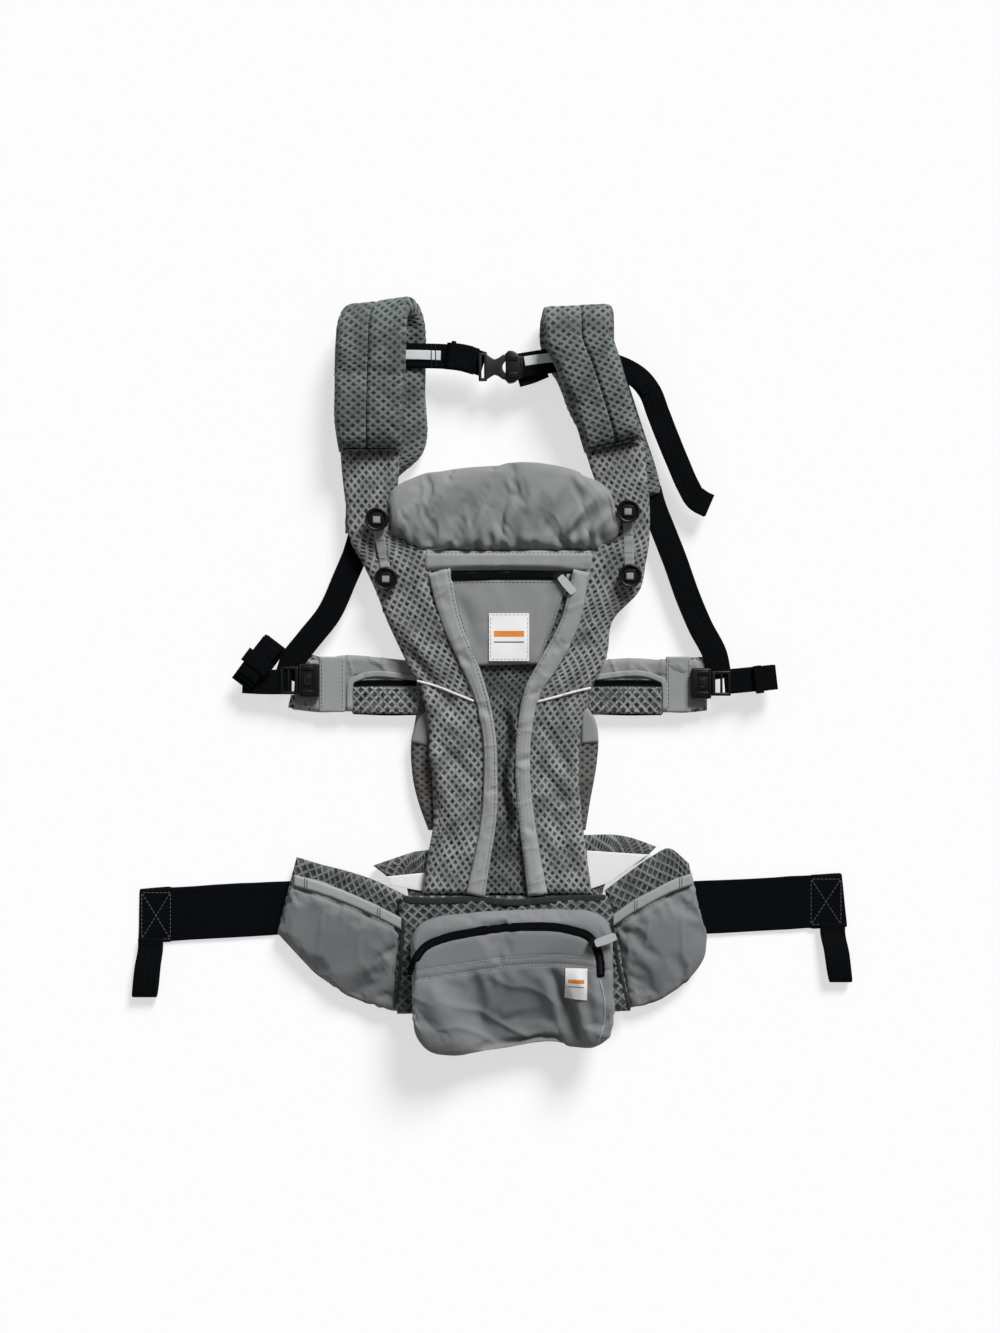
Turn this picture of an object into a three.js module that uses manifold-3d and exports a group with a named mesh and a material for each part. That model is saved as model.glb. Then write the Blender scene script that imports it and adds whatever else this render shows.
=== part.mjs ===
// Soft structured baby carrier, laid flat on its inner side.
// Millimetres. +Z up, +Y from the waist belt to the shoulder straps, +X to the right.
// Soft parts are plain closed slabs of their outline and thickness; hard parts are true shapes.
import * as THREE from 'three';
import { mergeVertices } from 'three/addons/utils/BufferGeometryUtils.js';
import ManifoldModule from 'manifold-3d';

const manifold = await ManifoldModule();
manifold.setup();

// ---- driving dimensions ----
const GAP = 0.4; // between touching pieces
const WEBBING_WIDTH = 25;
const ROLL_ROUND = 3; // edge of webbing rolled up on itself
const WAIST_STRAP_THICK = 3;
const RAIL_WIDTH = 15;

// heights of the layers above the floor
const LAYER = {
  lumbar: [0, 15],
  careLabel: [15.3, 16],
  innerPanel: [2, 16],
  outerPanel: [16.4, 32],
  centreMesh: [16.4, 28],
  rail: [16.4, 37],
  pocket: [28.4, 36],
  pocketLabel: [36.4, 37.2],
  pocketZip: [28.4, 33],
  headrestBand: [16.4, 34],
  headrest: [10, 42],
  beltCentre: [16.4, 38],
  pouch: [38.4, 62],
  pouchZip: [62.4, 64],
  pouchLabel: [62.4, 63.2],
  wingPad: [0, 20],
  wingCover: [20.4, 33],
  arm: [0, 13],
  sideWebbing: [13.6, 15.8],
  strapBack: [0, 20],
  sideTail: [17.3, 19.5],
  sideRollLeft: [8, 24],
  sideRollRight: [12, 25],
  chestWebbing: [21, 23.2],
  chestKeeper: [19.5, 32],
  strapRoot: [24.4, 33],
  strapFront: [24.4, 46],
};

// side release buckles: where the mouth is, and which way the male half pulls out
const BUCKLES = {
  side_buckle_left: {
    mouth: [-196, -5.5, 18.4], pull: -1, width: 34, thick: 10, female: 20.5, male: 18.5,
  },
  side_buckle_right: {
    mouth: [219, -8.5, 18.4], pull: 1, width: 31, thick: 10, female: 19.5, male: 19.5,
  },
  chest_buckle: {
    mouth: [12, 308.5, 26], pull: -1, width: 34, thick: 10, female: 16, male: 27,
  },
};

// button centres, and the height of the cloth under each
const BUTTONS = {
  button_upper_left: [-116, 155, LAYER.strapRoot[1]],
  button_lower_left: [-107, 96, LAYER.outerPanel[1]],
  button_upper_right: [134, 163, LAYER.strapRoot[1]],
  button_lower_right: [136, 99, LAYER.outerPanel[1]],
};
const BUTTON = {
  radius: 11.8, shank: 2.5, rise: 5, thick: 4, lift: 0.8, edge: 1, rim: 3, dish: 1.5, sides: 18,
};

// zips: the pocket's is straight, the pouch's is an arc about a centre below it
const POCKET_ZIP = {
  start: [-43.5, 97.5], end: [72, 98.5], width: 7, slider: [66, 98.4], along: 0, aim: -50,
};
const POUCH_ZIP = {
  centre: [20, -469], radius: 221, from: 68, to: 114, width: 8, slider: [99.5, -262.8], along: -21, aim: 20,
};
const SLIDER = { length: 12, width: 8, height: 3.6 };
const PULL_TAB = { length: 22, width: 8, neck: 5, taper: 3, tip: 4, thick: 1.6 };

// ---- materials ----
const COLOURS = {
  twill: [0x86898a, 0.85, 0],
  mesh: [0x5c605f, 0.9, 0],
  darkMesh: [0x35383a, 0.9, 0],
  webbing: [0x15171a, 0.75, 0],
  hookTape: [0x181b20, 0.85, 0],
  plastic: [0x141517, 0.45, 0],
  greyPlastic: [0x2b2d2f, 0.5, 0],
  steel: [0xb9bcbf, 0.35, 0.9],
  label: [0xf1f1ee, 0.8, 0],
};

const carrier = new THREE.Group();

function add(name, geometry, colour) {
  const [color, roughness, metalness] = COLOURS[colour];
  const mesh = new THREE.Mesh(geometry, new THREE.MeshStandardMaterial({ color, roughness, metalness }));
  mesh.name = name;
  carrier.add(mesh);
}

// ---- shapes ----
// A closed outline from runs of points: a run of three or more is a smooth curve.
function outline(...runs) {
  const shape = new THREE.Shape();
  runs.forEach((run, index) => {
    const [first, ...rest] = run.map(([x, y]) => new THREE.Vector2(x, y));
    if (index === 0) shape.moveTo(first.x, first.y);
    else shape.lineTo(first.x, first.y);
    if (rest.length > 1) shape.splineThru(rest);
    else if (rest.length === 1) shape.lineTo(rest[0].x, rest[0].y);
  });
  return shape;
}

// An outline raised between two heights, with its edges stepped in over a radius of `round`.
function slab(shape, [low, high], round = 0, curveSegments = 2) {
  if (round === 0) {
    const depth = high - low;
    const plain = new THREE.ExtrudeGeometry(shape, { depth, curveSegments, bevelEnabled: false });
    return plain.translate(0, 0, low);
  }
  const section = manifold.CrossSection.ofPolygons(
    [shape.extractPoints(curveSegments).shape.map(({ x, y }) => [x, y])],
    'NonZero',
  );
  const layers = [0, 0.3, 1].map((share) => {
    const angle = (share * Math.PI) / 2;
    const inset = round * (1 - Math.sin(angle));
    const end = round * (1 - Math.cos(angle));
    return section.offset(-inset, 'Miter', 2).extrude(high - low - 2 * end).translate(0, 0, low + end);
  });
  return fromManifold(manifold.Manifold.union(layers));
}

function box([x0, y0, z0], [x1, y1, z1]) {
  const geometry = new THREE.BoxGeometry(x1 - x0, y1 - y0, z1 - z0);
  return geometry.translate((x0 + x1) / 2, (y0 + y1) / 2, (z0 + z1) / 2);
}

// A flat band of constant width along a centreline.
function band(points, width) {
  const middle = points.map(([x, y]) => new THREE.Vector2(x, y));
  const sides = [[], []];
  middle.forEach((point, index) => {
    const before = middle[Math.max(index - 1, 0)];
    const after = middle[Math.min(index + 1, middle.length - 1)];
    const along = after.clone().sub(before).normalize();
    const across = new THREE.Vector2(-along.y, along.x).multiplyScalar(width / 2);
    sides[0].push(point.clone().add(across));
    sides[1].unshift(point.clone().sub(across));
  });
  return new THREE.Shape([...sides[0], ...sides[1]]);
}

function toManifold(geometry) {
  const bare = geometry.clone();
  bare.deleteAttribute('normal');
  bare.deleteAttribute('uv');
  const merged = mergeVertices(bare, 1e-4);
  const mesh = new manifold.Mesh({
    numProp: 3,
    vertProperties: Float32Array.from(merged.attributes.position.array),
    triVerts: Uint32Array.from(merged.index.array),
  });
  return new manifold.Manifold(mesh);
}

function fromManifold(solid) {
  const { numProp, vertProperties, triVerts } = solid.getMesh();
  const positions = new Float32Array((vertProperties.length / numProp) * 3);
  for (let vertex = 0; vertex < positions.length / 3; vertex++) {
    for (let axis = 0; axis < 3; axis++) {
      positions[3 * vertex + axis] = vertProperties[numProp * vertex + axis];
    }
  }
  const geometry = new THREE.BufferGeometry();
  geometry.setAttribute('position', new THREE.BufferAttribute(positions, 3));
  geometry.setIndex(new THREE.BufferAttribute(Uint32Array.from(triVerts), 1));
  const flat = geometry.toNonIndexed();
  flat.computeVertexNormals();
  return flat;
}

function join(...geometries) {
  return fromManifold(manifold.Manifold.union(geometries.map(toManifold)));
}

function cut(geometry, ...cutters) {
  const removed = manifold.Manifold.union(cutters.map(toManifold));
  return fromManifold(toManifold(geometry).subtract(removed));
}

const shift = (points, dx) => points.map(([x, y]) => [x + dx, y]);
const reverse = (points) => [...points].reverse();

// ---- body panel ----
const RAIL_LINES = {
  left: [[-56, 102.5], [-48, 66], [-31, 17], [-12.5, -16], [-5, -55], [-3, -98], [-5, -138], [-13.5, -190],
    [-18, -220.5]],
  right: [[87.5, 102.5], [70.5, 54], [52, 10], [35, -17], [29, -55], [32, -98], [36, -139], [40, -180],
    [44.5, -220.5]],
};

function bodyPanel() {
  const half = RAIL_WIDTH / 2;
  const { left, right } = RAIL_LINES;
  add('inner_panel', slab(outline(
    [[-73, 112], [-76, 20], [-77, -42]],
    [[-83.5, -71], [-82.5, -98], [-77.5, -129], [-67.5, -158]],
    [[93.5, -158], [97.5, -129], [104.5, -88], [105.5, -63], [103, -50]],
    [[95.5, -43], [95.5, 20], [95, 112]],
  ), LAYER.innerPanel), 'mesh');
  add('centre_mesh', slab(outline(
    shift(left, half + GAP),
    reverse(shift(right, -half - GAP)),
  ), LAYER.centreMesh), 'darkMesh');
  add('rail_left', slab(outline(shift(left, -half), reverse(shift(left, half))), LAYER.rail), 'twill');
  add('rail_right', slab(outline(shift(right, -half), reverse(shift(right, half))), LAYER.rail), 'twill');
  add('side_mesh_left', slab(outline(
    [[-143.5, 137], [-118.5, 85], [-108.5, 55], [-93, 24], [-75.5, -6], [-67.5, -37], [-62.5, -78],
      [-60.5, -149], [-72, -220.5]],
    reverse(shift(left, -half - GAP)),
    [[-70.4, 104]],
    [[-70.4, 123.4]],
    [[-77.5, 128.2]],
    [[-105, 137]],
  ), LAYER.outerPanel), 'mesh');
  add('side_mesh_right', slab(outline(
    [[156.5, 137], [146.5, 85], [119, 55], [114, 24], [97.5, -14], [92.5, -33], [86.5, -67], [85.5, -98],
      [88.5, -139], [99, -220.5]],
    reverse(shift(right, half + GAP)),
    [[101.6, 104]],
    [[101.6, 123.4]],
    [[122.5, 137]],
  ), LAYER.outerPanel), 'mesh');
  add('headrest_band', slab(outline([[-70, 104], [101, 104]], [[101, 124], [-70, 124]]),
    LAYER.headrestBand, 3), 'twill');
}

function upperPocket() {
  add('upper_pocket', slab(outline([[-45, 93], [-19, 10]], [[44.5, 12.6], [74, 93]]),
    LAYER.pocket, 2), 'twill');
  add('pocket_label', slab(outline([[-4.5, 61.6], [35.5, 61.6]], [[35.5, 14], [-4.5, 14]]),
    LAYER.pocketLabel), 'label');
  add('pocket_zip', slab(band([POCKET_ZIP.start, POCKET_ZIP.end], POCKET_ZIP.width),
    LAYER.pocketZip), 'webbing');
}

// A zip slider with its pull tab: the slider is centred, the tab points along `aim` (degrees).
function zipPull(prefix, { slider: [x, y], along, aim }, base) {
  const { length, width, neck, taper, tip, thick } = PULL_TAB;
  const body = new THREE.BoxGeometry(SLIDER.length, SLIDER.width, SLIDER.height);
  body.rotateZ(THREE.MathUtils.degToRad(along));
  body.translate(x, y, base + GAP + SLIDER.height / 2);
  add(`${prefix}_slider`, body, 'plastic');
  const lowerSide = [[0, -neck / 2], [taper, -width / 2], [length - taper, -width / 2], [length, -tip / 2]];
  const upperSide = lowerSide.map(([u, v]) => [u, -v]);
  const tab = slab(outline(lowerSide, reverse(upperSide)), [0, thick], 0, 1);
  tab.rotateZ(THREE.MathUtils.degToRad(aim));
  tab.translate(x, y, base + 2 * GAP + SLIDER.height);
  add(`${prefix}_pull_tab`, tab, 'steel');
}

function headrest() {
  add('headrest', slab(outline(
    [[-69.5, 125], [-76.5, 130], [-102, 142]],
    [[-103, 160], [-101, 179], [-90, 192], [-58.5, 202], [-12.5, 209], [44.5, 209.5], [79, 204], [100, 192],
      [118, 176], [120.5, 156]],
    [[119, 141], [102.5, 125]],
  ), LAYER.headrest, 9), 'twill');
}

// ---- waist belt ----
function waistBelt() {
  add('lumbar_pad', slab(outline(
    [[-122, -193], [-69, -177], [10, -168], [93, -162], [150, -166]],
    [[165, -174]],
    [[112, -212], [112, -325]],
    [[-86, -325], [-86, -222]],
    [[-106, -207]],
  ), LAYER.lumbar, 4), 'mesh');
  add('care_label_left', slab(outline(
    [[-107, -203], [-66, -199]],
    [[-66, -219], [-89, -219]],
    [[-106, -211]],
  ), LAYER.careLabel), 'label');
  add('care_label_right', slab(outline([[94, -177], [156, -181]], [[117, -209], [94, -217]]),
    LAYER.careLabel), 'label');
  add('belt_centre', slab(outline(
    [[-90.5, -221.5], [10, -223], [112, -221.5]],
    [[118, -245], [125, -292], [136, -338]],
    [[100, -345], [-60, -345], [-97, -338]],
    [[-90.5, -245]],
  ), LAYER.beltCentre, 4), 'darkMesh');
}

const WING_OUTLINES = {
  left: {
    pad: [
      [[-199, -184], [-178, -190], [-125, -204.5], [-91.6, -222]],
      [[-91.6, -245], [-98.5, -338]],
      [[-105, -341], [-145.5, -324], [-183.5, -300], [-210, -271], [-218.5, -262]],
    ],
    cover: [
      [[-200, -201], [-150, -217], [-93, -242]],
      [[-98.5, -337]],
      [[-105, -340], [-145.5, -323], [-183.5, -299], [-209, -271], [-217.5, -262]],
    ],
  },
  right: {
    pad: [
      [[113, -217], [140, -196], [164, -180]],
      [[177, -175], [190, -184], [204, -209], [212, -262]],
      [[211, -286]],
      [[189, -312], [150.5, -333], [138.5, -337]],
      [[126.5, -292], [119.5, -248]],
    ],
    cover: [
      [[119.5, -239], [160, -215], [198, -199]],
      [[205, -215], [211, -262], [210, -286], [188, -311], [150.5, -332], [139, -336]],
      [[127, -292], [120, -248]],
    ],
  },
};

const HOOK_STRAPS = {
  left: {
    strap: [[[-207, -209.7], [-358.5, -218]], [[-360, -272], [-223, -263.7]]],
    loop: [-360, -335, -272.6],
  },
  right: {
    strap: [[[207.5, -209.4], [352, -202]], [[358, -255], [215.5, -262.9]]],
    loop: [331, 356, -257.4],
  },
};
const LOOP = { length: 54, height: 13, wall: 2.2, root: 3, seam: 8, taper: 16 };

// A pull loop: webbing turned back on itself, open through its width.
function pullLoop([x0, x1, top]) {
  const { length, height, wall, root, seam, taper } = LOOP;
  const profile = new THREE.Shape();
  profile.moveTo(0, 0);
  profile.lineTo(length - height / 2, 0);
  profile.absarc(length - height / 2, height / 2, height / 2, -Math.PI / 2, Math.PI / 2, false);
  profile.lineTo(taper, height);
  profile.lineTo(0, root);
  const inside = height / 2 - wall;
  const eye = new THREE.Path();
  eye.moveTo(seam, wall);
  eye.lineTo(taper, height - wall);
  eye.lineTo(length - height / 2, height - wall);
  eye.absarc(length - height / 2, height / 2, inside, Math.PI / 2, -Math.PI / 2, true);
  profile.holes.push(eye);
  const depth = x1 - x0;
  const geometry = new THREE.ExtrudeGeometry(profile, { depth, bevelEnabled: false, curveSegments: 6 });
  // profile u runs towards -Y, profile v runs up, the width runs along X
  geometry.applyMatrix4(new THREE.Matrix4().set(
    0, 0, -1, x1,
    -1, 0, 0, top,
    0, 1, 0, 0,
    0, 0, 0, 1,
  ));
  return geometry;
}

function wingsAndStraps() {
  for (const side of ['left', 'right']) {
    const { pad, cover } = WING_OUTLINES[side];
    const { strap, loop } = HOOK_STRAPS[side];
    add(`wing_pad_${side}`, slab(outline(...pad), LAYER.wingPad, 4), 'mesh');
    add(`wing_cover_${side}`, slab(outline(...cover), LAYER.wingCover, 4), 'twill');
    add(`waist_strap_${side}`, slab(outline(...strap), [0, WAIST_STRAP_THICK]), 'hookTape');
    add(`pull_loop_${side}`, pullLoop(loop), 'webbing');
  }
}

// ---- pouch ----
function pouchArc(width) {
  const { centre, radius, from, to } = POUCH_ZIP;
  const steps = 9;
  const points = Array.from({ length: steps + 1 }, (_, step) => {
    const angle = THREE.MathUtils.degToRad(from + ((to - from) * step) / steps);
    return [centre[0] + radius * Math.cos(angle), centre[1] + radius * Math.sin(angle)];
  });
  return band(points, width);
}

function pouch() {
  add('pouch', slab(outline(
    [[-81, -253], [-57.5, -240], [1, -233], [60, -232], [103.5, -234], [116, -247]],
    [[118, -337], [117, -358]],
    [[96.5, -370], [77, -364], [50, -370], [6.5, -373], [-47.5, -378], [-66, -371]],
    [[-80, -345]],
  ), LAYER.pouch, 5), 'twill');
  add('pouch_zip', slab(pouchArc(POUCH_ZIP.width), LAYER.pouchZip), 'webbing');
  add('pouch_label', slab(outline([[70.5, -288.7], [92.5, -288.7]], [[92.5, -320], [70.5, -320]]),
    LAYER.pouchLabel), 'label');
}

// ---- side arms ----
function sideArms() {
  add('arm_left', slab(outline(
    [[-78.5, 14], [-150, 20], [-175, 18], [-197, 24]],
    [[-199, -22], [-208, -26], [-204, -36]],
    [[-175, -38], [-149, -37], [-78.5, -40]],
  ), LAYER.arm, 3), 'twill');
  add('arm_right', slab(outline(
    [[97, 14], [175, 16], [200, 14], [218, 19]],
    [[216, -22], [215, -34]],
    [[200, -38], [175, -38], [97, -41]],
  ), LAYER.arm, 3), 'twill');
}

// ---- shoulder straps ----
const STRAP_OUTLINES = {
  left: {
    root: [
      [[-154.5, 227], [-147.5, 165], [-143.5, 138]],
      [[-106, 138], [-106.5, 176], [-98, 196], [-95, 227]],
    ],
    front: [
      [[-156.5, 225], [-157, 300], [-156.5, 357]],
      [[-133.5, 368], [-86, 374]],
      [[-85.5, 361], [-92, 225]],
    ],
    back: [
      [[-146, 225], [-141, 369]],
      [[-86, 372], [-69, 366]],
      [[-70, 290], [-74, 226]],
      [[-97, 212], [-113, 180], [-120, 142]],
      [[-150, 142]],
    ],
  },
  right: {
    root: [
      [[149, 235], [152.5, 216], [157, 165], [156.8, 138]],
      [[124, 138], [123.5, 178], [105, 200], [93, 223]],
    ],
    front: [
      [[45.5, 357], [80, 366], [113.5, 364]],
      [[125, 317], [148.5, 234]],
      [[93, 221], [76.5, 266], [52.5, 331]],
    ],
    back: [
      [[50, 355], [80, 366], [116, 361]],
      [[130, 310], [153, 235], [171, 190]],
      [[157, 168], [130, 172]],
      [[108, 225], [72, 290], [52, 335]],
    ],
  },
};

function shoulderStraps() {
  for (const side of ['left', 'right']) {
    const { root, front, back } = STRAP_OUTLINES[side];
    const padded = slab(outline(...front), LAYER.strapFront, 5);
    add(`strap_front_${side}`, join(slab(outline(...root), LAYER.strapRoot), padded), 'mesh');
    add(`strap_back_${side}`, slab(outline(...back), LAYER.strapBack, 5), 'mesh');
  }
}

// ---- buckles ----
// Everything is laid out along u, which runs from the mouth the way the male half pulls out.
function buckleBox({ mouth: [x, y, z], pull }, [u0, v0, w0], [u1, v1, w1]) {
  const ends = [x + pull * u0, x + pull * u1];
  return box([Math.min(...ends), y + v0, z + w0], [Math.max(...ends), y + v1, z + w1]);
}

const BUCKLE = {
  wall: 2, side: 2.6, end: 2.5, clearance: 0.5, windowEnd: 4, windowLip: 4.5, eye: 4, eyeOffset: 5.5,
  eyeFrom: 5, eyeTo: 8, tongue: 2.2, plateInset: 3, slotInset: 5.5, slotFrom: 7.5, slotTo: 3,
};
const PRONG = { width: 3.4, inset: 3.2, end: 5 };

function buckle(name, spec) {
  const { width, thick, female, male } = spec;
  const half = width / 2;
  const high = thick / 2;
  const inner = high - BUCKLE.wall;
  const open = 1; // how far a cutter runs past the face it opens
  const part = (low, top) => buckleBox(spec, low, top);
  const shell = part([-female, -half, -high], [0, half, high]);
  const hollow = part(
    [-female + BUCKLE.end, -half + BUCKLE.side, -inner],
    [open, half - BUCKLE.side, inner],
  );
  const gripWindows = part(
    [-female + BUCKLE.windowEnd, -half - open, -inner],
    [-BUCKLE.windowLip, half + open, inner],
  );
  const eyes = [-1, 1].map((side) => part(
    [-female + BUCKLE.eyeFrom, side * BUCKLE.eyeOffset - BUCKLE.eye / 2, inner - open],
    [-female + BUCKLE.eyeTo, side * BUCKLE.eyeOffset + BUCKLE.eye / 2, high + open],
  ));
  add(`${name}_female`, cut(shell, hollow, gripWindows, ...eyes), 'plastic');

  const flat = inner - BUCKLE.clearance;
  const plate = part([GAP, -half + BUCKLE.plateInset, -flat], [male, half - BUCKLE.plateInset, flat]);
  const tongue = part(
    [-female + BUCKLE.windowEnd, -BUCKLE.tongue, -flat],
    [GAP + open, BUCKLE.tongue, flat],
  );
  const slot = part(
    [male - BUCKLE.slotFrom, -half + BUCKLE.slotInset, -high],
    [male - BUCKLE.slotTo, half - BUCKLE.slotInset, high],
  );
  add(`${name}_male`, cut(join(plate, tongue), slot), 'greyPlastic');

  for (const [prong, side] of [['a', -1], ['b', 1]]) {
    const outer = side * (half - PRONG.inset);
    const rows = [outer, outer - side * PRONG.width].sort((a, b) => a - b);
    const bar = part([-female + PRONG.end, rows[0], -flat], [0, rows[1], flat]);
    add(`${name}_prong_${prong}`, bar, 'greyPlastic');
  }
}

// ---- webbing ----
function webbing() {
  add('side_webbing_left', slab(band([[-136, 137], [-150, 97], [-167, 62], [-204, 27]], WEBBING_WIDTH),
    LAYER.sideWebbing), 'webbing');
  add('side_webbing_right', slab(band(
    [[164, 165], [182, 117], [197, 77], [210, 52], [222, 15]],
    WEBBING_WIDTH,
  ), LAYER.sideWebbing), 'webbing');
  add('side_tail_left', join(
    slab(outline([[-215, 4], [-258, 4]], [[-256, -18], [-215, -18]]), LAYER.sideTail),
    slab(outline([[-220, 2], [-258, 2]], [[-261, 22], [-240, 32]], [[-220, 30]]),
      LAYER.sideRollLeft, ROLL_ROUND),
  ), 'webbing');
  add('side_tail_right', join(
    slab(outline([[239, 6], [284, 8]], [[284, -17], [239, -21]]), LAYER.sideTail),
    slab(outline([[266, 9], [286, 10]], [[286, -18], [266, -20]]), LAYER.sideRollRight, ROLL_ROUND),
  ), 'webbing');
  add('chest_webbing_left', slab(outline([[-96, 332], [-46.5, 332]], [[-46.5, 308], [-96, 308]]),
    LAYER.chestWebbing), 'webbing');
  add('chest_webbing_right', slab(outline([[28.5, 328], [82, 326]], [[82, 306], [28.5, 300]]),
    LAYER.chestWebbing), 'webbing');
  add('chest_keeper', slab(outline([[-46, 332], [-15.5, 324]], [[-15.5, 300], [-46, 306]]),
    LAYER.chestKeeper, ROLL_ROUND), 'webbing');
  add('chest_tail', slab(band([[120, 312], [146, 299], [161, 281], [167, 260], [180, 228], [194, 195],
    [203, 174], [219, 168]], WEBBING_WIDTH), LAYER.chestWebbing), 'webbing');
}

// ---- buttons ----
function button([x, y, cloth]) {
  const { radius, shank, rise, thick, lift, edge, rim, dish, sides } = BUTTON;
  const top = rise + thick;
  const profile = [
    [0, 0], [shank, 0], [shank, rise], [radius - edge, rise], [radius, rise + edge], [radius, top - edge],
    [radius - edge, top], [radius - rim, top], [radius - rim - edge, top - dish], [0, top - dish],
  ].map(([r, height]) => new THREE.Vector2(r, height));
  const geometry = new THREE.LatheGeometry(profile, sides);
  geometry.rotateX(Math.PI / 2);
  return geometry.translate(x, y, cloth + lift);
}

// ---- assembly ----
bodyPanel();
upperPocket();
zipPull('pocket', POCKET_ZIP, LAYER.pocketZip[1]);
headrest();
waistBelt();
wingsAndStraps();
pouch();
zipPull('pouch', POUCH_ZIP, LAYER.pouchZip[1]);
sideArms();
shoulderStraps();
for (const [name, spec] of Object.entries(BUCKLES)) buckle(name, spec);
webbing();
for (const [name, place] of Object.entries(BUTTONS)) add(name, button(place), 'plastic');

export default carrier;
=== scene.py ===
"""Looks of a soft baby carrier lying flat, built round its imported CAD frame.

Lengths in this script are millimetres until a mesh is made; Blender's own are metres.
A soft piece is a Slab: a closed surface between two edges, with a thickness and rounded rims.
"""

import math

import bmesh
import bpy
import numpy as np
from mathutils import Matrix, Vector
from mathutils.bvhtree import BVHTree


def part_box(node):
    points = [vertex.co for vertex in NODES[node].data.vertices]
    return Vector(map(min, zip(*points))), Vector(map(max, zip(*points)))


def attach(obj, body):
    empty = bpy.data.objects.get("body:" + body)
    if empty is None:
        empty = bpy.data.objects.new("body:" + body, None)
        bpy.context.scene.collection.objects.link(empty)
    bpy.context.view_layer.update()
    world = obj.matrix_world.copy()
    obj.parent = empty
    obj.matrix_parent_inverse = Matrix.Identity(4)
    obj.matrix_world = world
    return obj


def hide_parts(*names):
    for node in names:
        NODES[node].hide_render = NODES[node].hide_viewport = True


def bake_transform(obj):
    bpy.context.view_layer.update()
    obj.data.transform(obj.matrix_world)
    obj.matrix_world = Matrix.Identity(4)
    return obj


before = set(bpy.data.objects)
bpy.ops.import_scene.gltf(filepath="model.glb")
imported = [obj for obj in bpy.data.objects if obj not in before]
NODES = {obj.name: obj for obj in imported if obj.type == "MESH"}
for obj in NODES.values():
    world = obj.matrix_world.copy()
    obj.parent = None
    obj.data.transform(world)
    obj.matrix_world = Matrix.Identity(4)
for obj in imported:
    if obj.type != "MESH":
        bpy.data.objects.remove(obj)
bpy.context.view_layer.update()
MM = 0.001


def heights(node):
    """Lowest and highest z of a CAD node, in mm."""
    low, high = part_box(node)
    return low.z / MM, high.z / MM


# ---------------------------------------------------------------- numbers and noise
LATTICE = np.random.default_rng(11).random((64, 64))


def hermite(params, values, at):
    """A smooth curve through values at params, read at other params."""
    slopes = np.gradient(values, params, axis=0)
    index = np.clip(np.searchsorted(params, at, side="right") - 1, 0, len(params) - 2)
    span = params[index + 1] - params[index]
    shape = (-1,) + (1,) * (values.ndim - 1)
    x = ((at - params[index]) / span).reshape(shape)
    span = span.reshape(shape)
    rise = values[index + 1] - values[index]
    start = slopes[index] * span
    end = slopes[index + 1] * span
    return values[index] + x * (start + x * (3 * rise - 2 * start - end + x * (start + end - 2 * rise)))


def chord(points):
    """Distance along a list of points, from 0."""
    return np.r_[0, np.cumsum(np.linalg.norm(np.diff(points, axis=0), axis=1))]


def smooth_line(points, step):
    """A smooth curve through a few points, at about one point a step."""
    points = np.array(points, float)
    along = chord(points)
    return hermite(along, points, np.linspace(0, along[-1], max(3, round(along[-1] / step) + 1)))


def noise(x, y, layer=0):
    """Smooth noise from 0 to 1, with one bump about every unit."""
    xi, yi = np.floor(x).astype(int), np.floor(y).astype(int)
    fx, fy = x - xi, y - yi
    fx, fy = fx * fx * (3 - 2 * fx), fy * fy * (3 - 2 * fy)

    def at(i, j):
        return LATTICE[(i + 17 * layer) % 64, (j + 29 * layer) % 64]

    low = at(xi, yi) * (1 - fx) + at(xi + 1, yi) * fx
    high = at(xi, yi + 1) * (1 - fx) + at(xi + 1, yi + 1) * fx
    return low * (1 - fy) + high * fy


def crumple(x, y, size, angle=0.0, stretch=1.0, layer=0):
    """Soft folds from -1 to 1, drawn out by `stretch` along `angle` (degrees)."""
    c, s = math.cos(math.radians(angle)), math.sin(math.radians(angle))
    u, v = (x * c + y * s) / (size * stretch), (y * c - x * s) / size
    return 2 * (0.65 * noise(u, v, layer) + 0.35 * noise(2.1 * u, 2.1 * v, layer + 3)) - 1


def creases(x, y, size, angle=0.0, stretch=3.0, layer=0):
    """Narrow creases from 0 to 1 that run along `angle`."""
    return np.clip(1 - 3.2 * np.abs(crumple(x, y, size, angle, stretch, layer)), 0, 1) ** 2


def smoothstep(low, high, x):
    t = np.clip((x - low) / (high - low), 0, 1)
    return t * t * (3 - 2 * t)


def groove(distance, width):
    """1 on a sewn line, fading to 0 `width` away."""
    return np.exp(-((distance / width) ** 2))


def folds(x, y, lines):
    """Height of given folds. A line is (start, end, width, height); each has a soft bank beside it."""
    total = 0
    for (x0, y0), (x1, y1), width, height in lines:
        dx, dy = x1 - x0, y1 - y0
        length = math.hypot(dx, dy)
        along = ((x - x0) * dx + (y - y0) * dy) / length**2
        away = ((x - x0) * dy - (y - y0) * dx) / length
        fade = np.sin(np.pi * np.clip(along, 0, 1)) ** 0.7
        total = total + height * fade * (groove(away, width) - 0.55 * groove(away - 1.7 * width, 1.2 * width))
    return total


# ---------------------------------------------------------------- spacer mesh
# Air mesh has staggered diamond holes: pitch across and along, and how far the holes reach.
STRAP_MESH = (9.8, 7.6, -0.7, 0.45)
PANEL_MESH = (7.6, 9.6, -0.8, 0.3)
ARM_MESH = (10.0, 9.0, -0.9, -0.2)
NET_MESH = (11.0, 10.0, -0.95, -0.25)
HOLE_DEPTH = 1.0


def holes(u, v, mesh):
    """1 in the middle of a hole and 0 on the ridges between."""
    across, along, low, high = mesh
    one = np.cos(2 * np.pi * (u / across + v / along))
    other = np.cos(2 * np.pi * (u / across - v / along))
    return smoothstep(low, high, np.minimum(one, other))


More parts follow.
